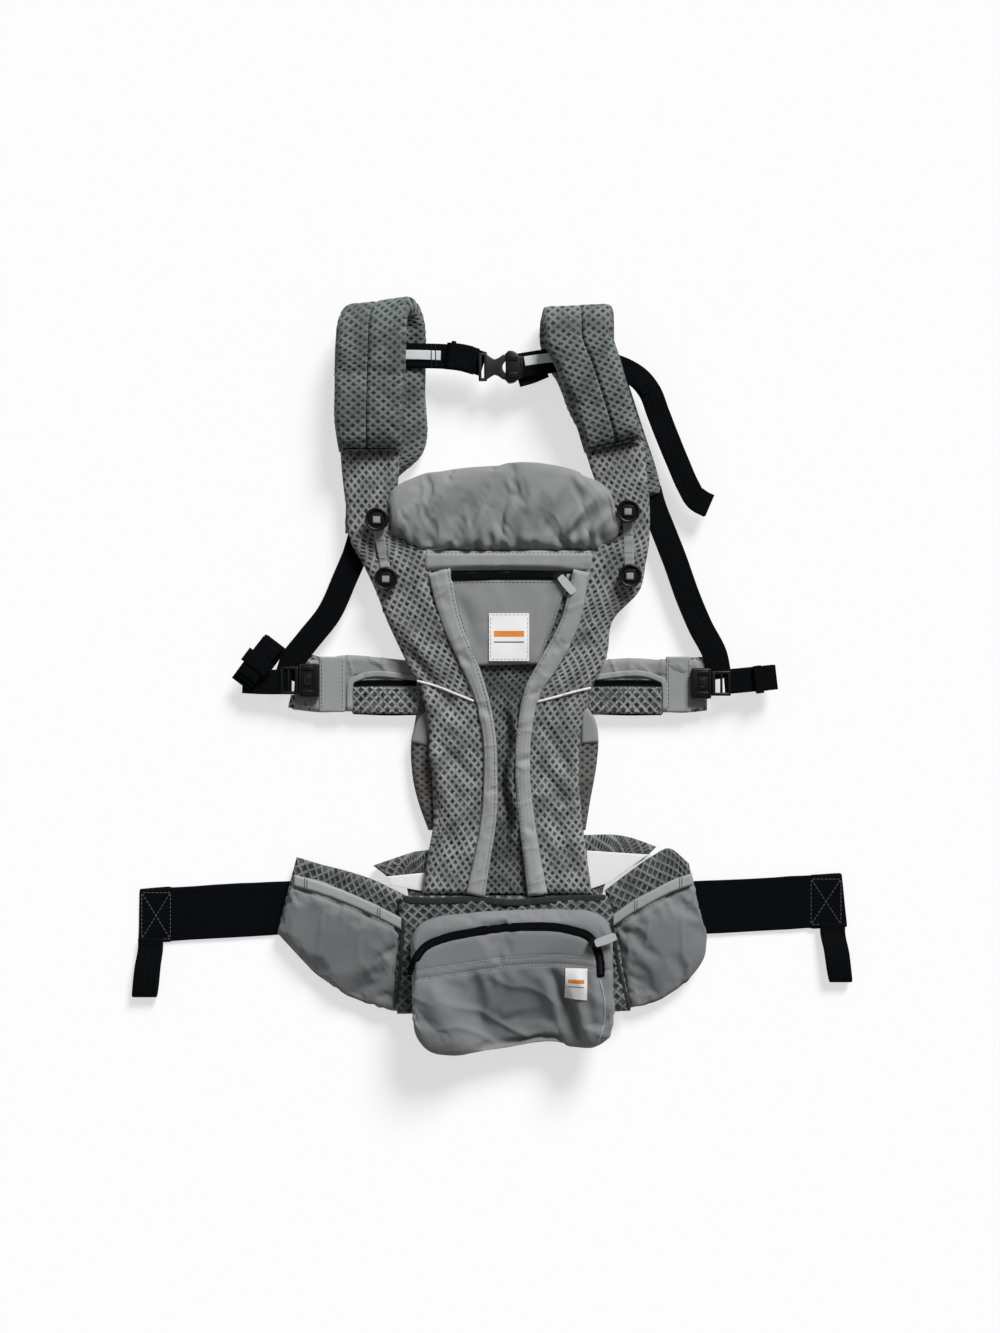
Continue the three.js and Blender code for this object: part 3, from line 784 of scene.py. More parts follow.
def header_band():
    low, high = heights("headrest_band")
    bottom = lift([(-70, 103.5), (-20, 104.5), (40, 104.5), (101, 102.5)], (low + high) / 2)
    top = lift([(-70, 125.5), (-20, 125), (40, 125), (101, 125.5)], (low + high) / 2)
    slab = Slab(top, bottom, high - low, step=2.0, rim=5, ends=4)
    slab.relief(lambda u, v, x, y: 0.7 * crumple(x, y, 9, 90, 2, layer=7) - 1.2 * groove(y - 107.5, 0.8)
                - 1.2 * groove(y - 122.5, 0.9))
    return cloth("cloth_headrest_band", slab, "twill_painted_lit", "panel", "twill", ["headrest_band"])


def upper_pocket(band):
    low, high = heights("upper_pocket")
    left = lift([(-19.5, 9), (-33, 48), (-46, 101)], (low + high) / 2 - 1)
    right = lift([(45, 11), (60, 50), (77, 101)], (low + high) / 2 - 1)
    slab = Slab(left, right, high - low - 1, step=2.0, rim=3, crown=1.2)
    dents = [((60, 90), (44, 20), 7, -2.4), ((-38, 84), (-16, 22), 6, -1.8), ((52, 80), (40, 30), 5, 1.6),
             ((-22, 84), (-10, 52), 9, 1.4)]
    slab.relief(lambda u, v, x, y: 1.0 * crumple(x, y, 22, 110, 2, layer=8) + folds(x, y, dents))
    piece = cloth("cloth_upper_pocket", slab, "twill", "panel", "twill", ["upper_pocket"])
    lines = [[(-41, 90), (-30, 48), (-17, 13)], [(70, 90), (57, 48), (43, 14)],
             [(-40, 92), (14, 92.5), (70, 92)]]
    stitches("pocket_stitches", lines, [piece], "panel")
    seams = [[(-68, 106), (15, 107), (99, 105.5)], [(-68, 122), (15, 122), (99, 122)]]
    stitches("band_stitches", seams, [band], "panel")
    return piece


def headrest():
    low, high = heights("headrest")
    middle = (low + high) / 2
    bottom = [(-103.5, 143), (-88, 134), (-74, 127.5), (-40, 125), (15, 124.5), (70, 125), (104, 126.5),
              (122, 138), (126, 148)]
    top = [(-106, 174), (-97, 188), (-78, 197.5), (-50, 204.5), (-5, 209.3), (50, 209.3), (84, 202.5),
           (112, 186), (126, 164)]
    slab = Slab(lift(top, middle), lift(bottom, middle), high - low - 5, step=4.0, rim=20, ends=16)
    slab = puffed(slab, pressure=2.0, slack=0.05, cap=5).refined(1.7)
    creased = [((108, 186), (66, 136), 6, 5.0), ((84, 198), (48, 134), 7, -3.6),
               ((120, 164), (82, 129), 5, 4.2),
               ((-34, 186), (-66, 128), 7, -3.2), ((22, 178), (6, 128), 6, 3.0),
               ((-78, 188), (-98, 144), 6, 2.8),
               ((50, 182), (34, 128), 5, -3.0), ((-8, 168), (-26, 127), 5, 3.0),
               ((96, 170), (70, 126), 3.5, -3.4)]

    def surface(u, v, x, y):
        near_seam = np.clip(1 - (y - 124.5) / 34, 0, 1) ** 1.3
        patchy = 0.3 + 0.7 * noise(x / 13, y / 60, 9)
        pleats = np.sin(x * 0.36 + 2.6 * np.sin(x * 0.071) + y * 0.05) * patchy
        return 3.2 * pleats * near_seam + 2.6 * crumple(x, y, 40, 20, 1.8, layer=10) + folds(x, y, creased)

    slab.relief(surface)
    name = "cloth_headrest"
    piece = link(name, slab.mesh(name), "twill", ["headrest"])
    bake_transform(piece)


# ---------------------------------------------------------------- shoulder straps
FOLD_RISE = 24
STRAPS = {
    "left": {
        "front": ([(-154.5, 223), (-157, 240), (-158, 300), (-157, 334)],
                  [(-92.5, 223), (-91, 240), (-87.5, 300), (-86, 349)]),
        "back": ([(-139, 342), (-142, 290), (-146, 225), (-149, 180), (-150, 143)],
                 [(-69, 344), (-69, 290), (-72, 225), (-104, 190), (-120, 143)]),
        "seam": -2.0,
    },
    "right": {
        "front": ([(91, 222), (77, 266), (62, 305), (50, 334)],
                  [(149, 236), (137, 277), (125.5, 317), (119, 340)]),
        "back": ([(47, 338), (66, 292), (84, 252), (112, 212), (134, 168)],
                 [(122, 338), (138, 290), (152, 246), (164, 210), (170, 184)]),
        "seam": 3.5,
    },
}


def folded_edge(front, back, front_z, back_z, turns=8):
    """One edge of a strap that folds back on itself: up the front, round the fold and down the back."""
    (x0, y0), (x1, y1) = front[-1], back[0]
    drops = [9, 3] + [0] * (len(front) - 2)
    middle, radius = (front_z + back_z) / 2, (front_z - back_z) / 2
    fold = []
    for turn in np.linspace(0, math.pi, turns + 1)[1:-1]:
        share = (1 - math.cos(turn)) / 2
        fold.append((x0 + (x1 - x0) * share, y0 + (y1 - y0) * share + FOLD_RISE * math.sin(turn),
                     middle + radius * math.cos(turn)))
    above = [(x, y, front_z - fall) for (x, y), fall in zip(front, drops)]
    return above + fold + [(x, y, back_z) for x, y in back]


def shoulder_straps():
    front_z = sum(heights("strap_front_left")) / 2 + 4
    back_z = sum(heights("strap_back_left")) / 2
    for side, shape in STRAPS.items():
        edges = [folded_edge(shape["front"][k], shape["back"][k], front_z, back_z) for k in range(2)]
        slab = Slab(*edges, lambda t: 18.5 - 8 * (1 - smoothstep(0.0, 0.05, t)), step=4.0, rim=8, ends=5)
        slab = puffed(slab, pressure=1.6, slack=0.02, cap=1.6).refined(1.35)
        padded = slab.length * 0.4

        def surface(u, v, x, y):
            channel = groove(u - shape["seam"], 1.7) * (v < padded)
            slack = 0.9 * crumple(u, v, 30, 80, 2, layer=12)
            return slack - 3.0 * channel - HOLE_DEPTH * holes(u, v, STRAP_MESH)

        slab.relief(surface, lambda u, v, x, y: -HOLE_DEPTH * holes(u, v, STRAP_MESH))
        piece = cloth(f"cloth_strap_{side}", slab, "strap_mesh", "harness", "mesh",
                      [f"strap_front_{side}", f"strap_back_{side}"])
        column = int(np.argmin(np.abs(slab.u[len(slab.t) // 4] - shape["seam"])))
        rows = slice(3, int(np.searchsorted(slab.t, 0.4)), 2)
        seam = slab.top[rows, column] - (0, 0, 0.2)
        ends = [np.array(shape["front"][k][0]) + (0, 3) for k in range(2)]
        across = drop([ends[0] * (1 - k) + ends[1] * k for k in np.linspace(0.08, 0.92, 20)], [piece], 0.0)
        merged(f"strap_seams_{side}", [tube(seam, 0.8), tube(across, 0.9)], "black_thread", "harness")


# ---------------------------------------------------------------- side arms
ARMS = {
    "left": {
        "top": [(-199, 22), (-175, 17), (-150, 20), (-110, 17), (-70, 13)],
        "bottom": [(-204, -35), (-175, -38), (-150, -37), (-110, -39), (-70, -40)],
        "window": (-143, -76), "tab": (-176, -150), "root": (-0.078, -0.100), "opening": (-141, -78),
    },
    "right": {
        "top": [(90, 13), (140, 17), (175, 15), (198, 15), (217, 18)],
        "bottom": [(90, -41), (140, -39), (175, -38), (198, -38), (215, -33)],
        "window": (95, 171), "tab": (174, 199), "root": (0.097, 0.120), "opening": (100, 169),
    },
}


def side_arms():
    low, high = heights("arm_left")
    middle = (low + high) / 2
    for side, shape in ARMS.items():
        body = f"arm_{side}"
        slab = Slab(lift(shape["top"], middle), lift(shape["bottom"], middle), high - low, step=1.8, rim=5.5)

        def surface(u, v, x, y):
            upper = smoothstep(-4, 6, y)
            return (2.6 * creases(x, y, 15, 112, 2.5, layer=13) * upper + 0.6 * crumple(x, y, 12, layer=14)
                    - 1.2 * groove(y + 1, 1.0))

        slab.relief(surface)
        name = f"cloth_arm_{side}"
        arm = link(name, slab.mesh(name), "twill", [body])
        x0, x1 = shape["window"]
        window = Slab(lift([(x0, -11.5), (x1, -11.5)], high - 1), lift([(x0, -38.5), (x1, -39.5)], high - 1),
                      4.5, step=1.35, rim=3)
        window.relief(lambda u, v, x, y: 0.6 * crumple(x, y, 14, layer=15)
                      - HOLE_DEPTH * holes(v, u, ARM_MESH))
        mesh = link(f"arm_window_{side}", window.mesh("window"), "arm_mesh")
        x2, x3 = shape["opening"]
        corner = x0 - 2 if side == "left" else x1 + 2
        inner = -1 if side == "right" else 1
        root = x1 if side == "left" else x0
        edge_path = smooth_line([(root, -2.6), (corner + inner * 9, -2.8), (corner + inner * 1.5, -7),
                                 (corner, -16), (corner, -36)], 3)
        edging = link(f"arm_frame_{side}", Slab(*beside(drop(edge_path, [arm], 1.0), 6), 2.6, step=1.8,
                                                rim=1.3).mesh("frame"), "twill_painted_lit")
        lip = drop(smooth_line([(x2, -7), ((x2 + x3) / 2, -6.4), (x3, -7)], 3), [arm], 0.4)
        mouth = drop(smooth_line([(x2, -10), ((x2 + x3) / 2, -9.4), (x3, -10)], 3), [arm], 0.2)
        edge = smooth_line([(x0 + 1, -38.2, middle + 2), ((x0 + x1) / 2, -39.5, middle + 2),
                            (x1 - 1, -39.2, middle + 2)], 3)
        piping = merged(f"arm_piping_{side}", [tube(lip, 1.5), tube(mouth, 1.5), tube(edge, 1.6)],
                        "webbing", None)
        a, b = shape["tab"]
        cover = Slab(lift([(a, 18.5), (b, 18.5)], high - 0.2), lift([(a, -37.5), (b, -37.5)], high - 0.2),
                     3.4, step=2.0, rim=1.7)
        tab = cloth(f"arm_tab_{side}", cover, "twill_painted_lit", body)
        lines = [[(a + 2.5, 16), (a + 2.5, -35)], [(b - 2.5, 16), (b - 2.5, -35)]]
        stitches(f"arm_tab_stitches_{side}", lines, [tab], body)
        seam = [[(min(x2, b) + 8 if side == "left" else x2, 0.5), (x3 if side == "right" else x3 - 2, 0.5)]]
        stitches(f"arm_stitches_{side}", seam, [arm], body)
        net_ends(side, middle)
        for piece in (arm, mesh, piping, edging):
            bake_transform(piece)


def net_ends(side, middle):
    """The mesh that shows past the end of an arm, above and below its buckle."""
    ends = {
        "left": ([(-200, 25), (-171, 17)], [(-199, 9), (-171, 9)], [(-205, -20), (-175, -24)],
                 [(-208, -33), (-175, -38)]),
        "right": ([(196, 17), (218, 19)], [(196, 8), (219, 8)], [(200, -22), (216, -22)],
                  [(200, -38), (216, -36)]),
    }[side]
    for name, top, foot in (("upper", ends[0], ends[1]), ("lower", ends[2], ends[3])):
        slab = Slab(lift(top, middle + 2), lift(foot, middle + 2), 9, step=1.5, rim=4)
        slab.relief(lambda u, v, x, y: -HOLE_DEPTH * holes(v, u, ARM_MESH))
        cloth(f"arm_end_{name}_{side}", slab, "arm_mesh", f"arm_{side}", "mesh")


# ---------------------------------------------------------------- waist belt
WINGS = {
    "left": {
        "rim": [(-199, -184), (-178, -190), (-150, -197), (-122, -206), (-88, -222)],
        "foot": [(-219, -262), (-208, -274), (-176, -306), (-138, -328), (-98, -341)],
        "hem": [(-200, -201), (-180, -206), (-150, -216), (-120, -229), (-92, -243)],
        "heights": (18, 22, 26, 28, 29), "tacks": (0.16, 0.8), "root": (-0.0905, -0.118),
    },
    "right": {
        "rim": [(112, -217), (137, -198), (162, -181), (178, -175), (197, -190)],
        "foot": [(137, -338), (160, -330), (189, -312), (210, -287), (213, -262)],
        "hem": [(119, -240), (138, -227), (158, -216), (178, -206), (199, -199)],
        "heights": (29, 29, 28, 26, 23), "tacks": (0.3, 0.86), "root": (0.112, 0.140),
    },
}
HEM_HEIGHT = 12


def wing(side, lines):
    pad_low = heights(f"wing_pad_{side}")[0]
    rim_z = np.array(lines["heights"]) * 0.6
    pad = Slab(lift(lines["rim"], rim_z), lift(np.array(lines["foot"]) + (0, 4), pad_low + 4), 12, step=1.5,
               rim=7)

    def net(u, v, x, y):
        return crumple(x, y, 30, layer=16) - HOLE_DEPTH * holes(u, v, NET_MESH)

    pad.relief(net, net)
    under = link(f"cloth_wing_pad_{side}", pad.mesh("pad"), "net_mesh", [f"wing_pad_{side}"])
    hem = np.array(lines["hem"], float)
    cover = Slab(lift(lines["hem"], lines["heights"]),
                 lift([(x * 0.998, y + 1) for x, y in lines["foot"]], 10), 15, step=4.0, rim=12, ends=8)
    cover = puffed(cover, pressure=2.5, slack=0.03, cap=4).refined(1.9)

    def surface(u, v, x, y):
        from_hem = u + cover.widths / 2
        below = smoothstep(HEM_HEIGHT - 1, HEM_HEIGHT + 4, from_hem)
        gathers = 0.6 * np.sin(v * 0.42 + 2 * np.sin(v * 0.09)) * np.exp(-((from_hem - 18) / 12) ** 2)
        return (1.6 * crumple(x, y, 45, 60, 2, layer=17)
                + below * (gathers + 1.4 * creases(x, y, 26, 75, 2.5, 18))
                - 2.0 * groove(from_hem - HEM_HEIGHT, 1.1) - 0.8 * (1 - below))

    cover.relief(surface)
    top = link(f"cloth_wing_cover_{side}", cover.mesh("cover"), "twill_painted_shade", [f"wing_cover_{side}"])
    band_low = lift(hem - (0, HEM_HEIGHT - 1), np.array(lines["heights"]) + 5.5)
    band_top = lift(hem + (0, 0.5), np.array(lines["heights"]) + 4)
    strip = Slab(band_top, band_low, 5, step=1.8, rim=2.5)
    strip.relief(lambda u, v, x, y: 0.5 * crumple(x, y, 9, layer=19))
    binding = link(f"wing_hem_{side}", strip.mesh("hem"), "twill_painted_lit")
    tacks = []
    for share in lines["tacks"]:
        x, y = hermite(np.linspace(0, 1, 5), hem, np.array([share]))[0]
        tacks += [[(x + k, y + 0.5), (x + k, y - HEM_HEIGHT + 1)] for k in (-1.2, 1.2)]
    sewn = stitches(f"wing_tacks_{side}", tacks, [binding], None, "thread", length=1.8, gap=0.6, radius=0.5)
    row = stitches(f"wing_stitches_{side}", [hem - (0, HEM_HEIGHT + 1.5)], [top], None, "pale_thread")
    for piece in (under, top, binding, sewn, row):
        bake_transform(piece)


def belt_centre():
    low, high = heights("belt_centre")
    middle = np.array((19, 20, 26, 27))
    left = lift([(-97, -341), (-99, -300), (-95, -245), (-94, -221)], middle)
    right = lift([(138, -338), (130, -292), (122, -245), (114, -221)], middle)
    slab = Slab(left, right, high - low - 5, step=1.5, rim=7, ends=7)

    def net(u, v, x, y):
        return 1.4 * crumple(x, y, 25, layer=19) - HOLE_DEPTH * holes(u, v, NET_MESH)

    slab.relief(net, net)
    piece = cloth("cloth_belt_centre", slab, "net_mesh", "panel", "dark_mesh", ["belt_centre"])
    route = drop(smooth_line([(-90, -224), (-60, -225.5), (-20, -224), (20, -227), (60, -224), (112, -223)],
                             4),
                 [piece], 0.8)
    wave = np.column_stack([route[:, :2], route[:, 2] + 0.8 * np.sin(route[:, 0] / 7)])
    cloth("belt_binding", Slab(*beside(wave, 7), 3, step=1.8, rim=1.5), "lining", "panel")
    for side, points in (("left", [(-90, -246), (-93, -290), (-98, -338)]),
                         ("right", [(118, -246), (125, -290), (136, -336)])):
        laid = drop(smooth_line(points, 4), [piece], 0.5)
        cloth(f"belt_seam_{side}", Slab(*beside(laid, 4), 2.4, step=2, rim=1.2), "lining", "panel")


def lumbar_pad():
    low, high = heights("lumbar_pad")
    top = [(-122, -193), (-96, -184), (-69, -177.5), (10, -168.5), (93, -162), (140, -165), (165, -174)]
    foot = [(-105, -206), (-90, -212), (-84, -325), (10, -326), (100, -325), (111, -213), (150, -188)]
    slab = Slab(lift(top, (low + high) / 2), lift(foot, (low + high) / 2), high - low, step=1.8, rim=7,
                ends=4)

    def net(u, v, x, y):
        return 0.6 * crumple(x, y, 24, layer=24) - HOLE_DEPTH * holes(u, v, NET_MESH)

    slab.relief(net, net)
    piece = cloth("cloth_lumbar_pad", slab, "net_mesh", "panel", "mesh", ["lumbar_pad"])


WAIST_STRAPS = {
    "left": {
        "top": [(-200, -209.5), (-260, -212), (-325, -216), (-359, -218)],
        "foot": [(-216, -263.5), (-270, -267), (-325, -270), (-360, -272)],
        "box": (-357, -328, -221, -268), "root": (-0.208, -0.228), "loop": [(-360, -335), (-366, -341)],
    },
    "right": {
        "top": [(203, -209.5), (260, -207), (320, -203.5), (352, -202)],
        "foot": [(211, -263), (262, -260.5), (320, -257), (358, -255)],
        "box": (322, 352, -207, -253), "root": (0.206, 0.226), "loop": [(331, 356), (340, 363)],
    },
}


def waist_strap(side, shape):
    body = f"waist_strap_{side}"
    edges = (lift(shape["top"], 1.8), lift(shape["foot"], 1.8))
    slab = Slab(*edges, 3.0, step=2.0, rim=1.5)
    x0, x1, y0, y1 = shape["box"]
    fold = x1 if side == "left" else x0

    def surface(u, v, x, y):
        patch = smoothstep(-1, 1, (x - fold) * (-1 if side == "left" else 1))
        return 0.7 * crumple(x, y, 30, layer=20) + 1.4 * patch + 0.5

    slab.relief(surface)
    piece = link(f"cloth_{body}", slab.mesh("strap"), "hook_tape", [body])
    frame_lines = [[(x0, y0), (x1, y0)], [(x0, y1), (x1, y1)], [(x0, y0), (x0, y1)], [(x1, y0), (x1, y1)],
                   [(x0, y0), (x1, y1)], [(x0, y1), (x1, y0)]]
    stitches(f"{body}_stitches", frame_lines, [piece], body, "thread", radius=0.4)
    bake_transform(piece)


def pull_loop(side, shape):
    """Webbing turned back on itself, hanging off the end of a waist strap."""
    (x0, x1), (x2, x3) = shape["loop"]
    low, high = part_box(f"pull_loop_{side}")
    hinge, length, rise = high.y / MM, (high.y - low.y) / MM + 5, (high.z - low.z) / MM
    top = hinge + 6
    edges = []
    for near, far in ((x0, x2), (x1, x3)):
        under = [(near, top, 5.6), (near, hinge - 2, 4.4),
                 (near + (far - near) * 0.5, top - length * 0.5, 1.8)]
        bend = [(near + (far - near) * share, top - length + back, z)
                for share, back, z in ((0.86, 8, 1.8), (0.97, 2, 3.2), (1, 0, rise * 0.5),
                                       (0.97, 2, rise - 3), (0.86, 8, rise - 1.8))]
        over = [(near + (far - near) * 0.5, top - length * 0.5, rise - 2), (near, hinge - 2, 7.4),
                (near, top, 7.8)]
        edges.append(under + bend + over)
    slab = Slab(*edges, 2.0, step=1.8, rim=1)
    name = f"cloth_pull_loop_{side}"
    piece = link(name, slab.mesh(name), "webbing", [f"pull_loop_{side}"])
    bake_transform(piece)


def waist_belt():
    lumbar_pad()
    belt_centre()
    for side in ("left", "right"):
        wing(side, WINGS[side])
        waist_strap(side, WAIST_STRAPS[side])
        pull_loop(side, WAIST_STRAPS[side])


# ---------------------------------------------------------------- pouch
POUCH_ARCH = [(-82, -306), (-79, -287), (-68.5, -269), (-48, -259), (-23.5, -253.5), (28.5, -248),
              (73.5, -250), (95, -258), (104, -275), (106, -297)]
POUCH_FOLDS = [((56, -286), (86, -370), 6, -7), ((84, -322), (99, -370), 6, 4),
               ((-62, -300), (-48, -368), 12, 4),
               ((-30, -300), (-6, -372), 13, -4), ((100, -296), (104, -366), 6, 2.5)]
POUCH_HOLLOW = 14  # mm that the slack middle of the bag hangs back


def distance_to(x, y, line):
    """Distance of places from a flat line."""
    best = np.full(np.shape(x), 1e9)
    for px, py in smooth_line(line, 2):
        best = np.minimum(best, np.hypot(x - px, y - py))
    return best


def pouch():
    low, high = heights("pouch")
    middle = (low + high) / 2
    top = [(-82, -262), (-72, -247), (-55, -239.5), (-25, -235.5), (20, -232.5), (70, -232), (96, -234),
           (110, -241), (118, -256)]
    foot = [(-80, -340), (-76, -358), (-64, -371), (-45, -377), (5, -373), (60, -366), (92, -369),
            (110, -362), (119, -346)]
    foot_z = middle - np.array((2, 2, 4, 9, 17, 18, 8, 4, 3))
    slab = Slab(lift(top, middle - 1), lift(foot, foot_z), high - low - 2, step=4.0, rim=15, ends=13)
    for side, extra in (("top", 0), ("bottom", 4)):
        grid = getattr(slab, side)
        x, y = grid[..., 0], grid[..., 1]
        hollow = smoothstep(-286, -356, y) * smoothstep(-36, 14, x) * (1 - smoothstep(64, 88, x))
        grid[..., 2] -= (POUCH_HOLLOW * hollow + extra) * np.minimum(1, 1.4 * slab.body)
    slab = puffed(slab, pressure=1.5, slack=0.02, cap=3).refined(1.7)

    def surface(u, v, x, y):
        arch = distance_to(x, y, POUCH_ARCH)
        hem_line = -288 - 9 * ((x - 40) / 120) ** 2 + 3 * np.sin(x / 40)
        below = smoothstep(2, -14, y - hem_line)
        inside = (y < -258 - 30 * np.clip((np.abs(x - 12) - 80) / 20, 0, 1))
        hem = -1.1 * groove(y - hem_line, 1.2) - 0.8 * groove(y - hem_line - 9, 1.0)
        gathers = 0.9 * np.sin(x * 0.33 + 2 * np.sin(x * 0.07)) * np.exp(-((y - hem_line + 10) / 9) ** 2)
        return (-2.4 * groove(arch, 4.5) + hem * inside + gathers * below
                + 1.6 * crumple(x, y, 42, 30, 2, layer=22)
                + below * (folds(x, y, POUCH_FOLDS) + 1.8 * creases(x, y, 34, 150, 2.5, layer=23)))

    slab.relief(surface)
    piece = cloth("cloth_pouch", slab, "twill_painted_shade", "panel", "twill", ["pouch"])
    hem = [[(x, -288 - 9 * ((x - 40) / 120) ** 2 + 3 * math.sin(x / 40) + rise) for x in range(-76, 105, 12)]
           for rise in (0, 9)]
    stitches("pouch_stitches", hem, [piece], "panel", "pale_thread", radius=0.4)
    seam = drop(smooth_line([(105, -300), (109, -320), (108, -345), (103, -362)], 3), [piece], 0.1)
    merged("pouch_seam", [tube(seam, 0.9)], "pale_thread", "panel")
    return piece


# ---------------------------------------------------------------- zips
TOOTH_PITCH = 1.4


def zip_closure(name, path, width, onto, rise):
    """Zip tape with two rows of teeth, laid on a piece along a path."""
    route = drop(smooth_line(path, 3), onto, rise)
    tape = Slab(*beside(route, width), 1.8, step=1.8, rim=0.9)
    cloth(f"cloth_{name}", tape, "webbing", "panel", "webbing", [name])
    fine = smooth_line(route, 0.5)
    along = chord(fine)
    ahead = np.gradient(fine, axis=0)
    teeth = []
    for number, at in enumerate(np.arange(2, along[-1] - 2, TOOTH_PITCH)):
        place = np.array([np.interp(at, along, fine[:, k]) for k in range(3)]) + (0, 0, 1.0)
        dx, dy = (np.interp(at, along, ahead[:, k]) for k in range(2))
        side = np.array([-dy, dx, 0]) / math.hypot(dx, dy)
        shift = 0.55 if number % 2 else -0.55
        teeth.append(tube([place + side * (shift - 1.3), place + side * (shift + 1.3)], 0.5, sides=5))
    merged(f"{name}_teeth", teeth, "plastic", "panel")


# ---------------------------------------------------------------- labels
LABEL_THICK = 0.9


def label(name, low_edge, high_edge, z, material, onto=()):
    """A label between its lower and upper edges, each from left to right, on a piece or flat at z."""
    left, right = ([low_edge[k], high_edge[k]] for k in (0, -1))
    slab = Slab(lift(left, z), lift(right, z), LABEL_THICK, step=3, rim=0.4)
    if onto:
        under = drop(slab.top.reshape(-1, 3), onto, LABEL_THICK)[:, 2].reshape(slab.top.shape[:2])
        under = under * 0.8 + np.mean(under) * 0.2 + 0.7
        shift = (under - slab.top[..., 2])[..., None] * (0, 0, 1)
        slab.top, slab.bottom = slab.top + shift, slab.bottom + shift
    piece = cloth(f"cloth_{name}", slab, material, "panel", "label", [name])
    return piece


def labels(pocket, bag):
    big = label("pocket_label", [(-4.5, 14), (35.5, 14)], [(-4.5, 61.6), (35.5, 61.6)], 0, "big_label",
                [pocket])
    label("pouch_label", [(70.5, -320), (92, -320)], [(71, -288.7), (92.5, -288.7)], 0, "small_label", [bag])
    z = heights("care_label_left")[1]
    label("care_label_left", [(-104, -212), (-66, -219)], [(-107, -203), (-66, -199)], z, "care_label")
    label("care_label_right", [(94, -217), (117, -209)], [(94, -177), (156, -181)], z, "care_label")
    edge = [[(-3, 16), (34, 16)], [(-3, 60), (34, 60)], [(-3, 16), (-3, 60)], [(34, 16), (34, 60)]]
    stitches("pocket_label_stitches", edge, [big], "panel", "pale_thread", radius=0.25)


# ---------------------------------------------------------------- webbing
WEBBING_WIDTH = 25
WEBBING_THICK = 2.2


def webbing(name, centre, body, width=WEBBING_WIDTH, replaces=(), thick=WEBBING_THICK, material="webbing",
            slack=0.0):
    route = np.array(centre, float)
    slab = Slab(*beside(route, width), thick, step=2.0, rim=thick / 2)
    if slack:
        slab.relief(lambda u, v, x, y: slack * crumple(u, v, 24, 90, 1.5, layer=26),
                    lambda u, v, x, y: -slack * crumple(u, v, 24, 90, 1.5, layer=26))
    piece = link(name, slab.mesh(name), material, replaces)
    if body:
        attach(piece, body)
    return piece


SPLIT = 3  # the point of a side webbing where its upper length ends


def side_webbings():
    """Webbing from each shoulder strap to its side buckle, split where the bodies part."""
    routes = {
        "left": [(-131, 156, 12), (-134, 142, 14), (-141, 118, 14.7), (-150, 97, 14.7), (-166, 62, 14.7),
                 (-188, 34, 14.7), (-203, 14, 14.5), (-209, -4, 13.5)],
        "right": [(157, 188, 12), (161, 172, 14), (171, 146, 14.7), (182, 118, 14.7), (197, 76, 14.7),
                  (208, 50, 14.7), (224, 18, 14.5), (228, -4, 13.5)],
    }
    for side, route in routes.items():
        upper = webbing(f"side_webbing_top_{side}", route[:SPLIT + 1], None, slack=0.3)
        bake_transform(upper)
        lower = webbing(f"cloth_side_webbing_{side}", route[SPLIT - 1:], None,
                        replaces=[f"side_webbing_{side}"], slack=0.3)
        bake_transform(lower)


def side_tails():
    flat = sum(heights("side_buckle_left_male")) / 2
    body = "side_buckle_left"
    webbing("cloth_side_tail_left", [(-203, -7, flat), (-232, -7, flat - 1), (-253, -6, flat - 3)], body,
            replaces=["side_tail_left"])
    bundle = [((-250, -9), (-218, 33), -3.2), ((-254, -10), (-222, 32), -0.4), ((-251, -6), (-220, 34), 2.4),
              ((-248, -2), (-224, 30), 5.0)]
    for number, (start, end, rise) in enumerate(bundle):
        route = [(*(np.array(start) * (1 - k) + np.array(end) * k), flat + rise + 1.2 * math.sin(3 * k))
                 for k in (0, 0.35, 0.7, 1)]
        webbing(f"side_tail_fold_left_{number}", route, body, width=WEBBING_WIDTH - number, slack=0.6)
    webbing("side_tail_keeper_left",
            [(-241.5, 7, flat + 7.6), (-237, 13, flat + 7.8), (-232.5, 19, flat + 7.6)], body,
            width=29, thick=1.6)
    body = "side_buckle_right"
    webbing("cloth_side_tail_right", [(232, -7, flat), (254, -5, flat), (282, -2, flat - 1)], body,
            replaces=["side_tail_right"])
    for number, z in enumerate((flat - 4, flat + 2.6)):
        webbing(f"side_tail_fold_right_{number}", [(262, -5, z), (272, -3.5, z), (284.5, -2, z)], body,
                slack=0.5)
    webbing("side_tail_keeper_right", [(262, -5, flat + 5), (266, -4.5, flat + 5.2), (270, -4, flat + 5)],
            body, width=28, thick=1.4)


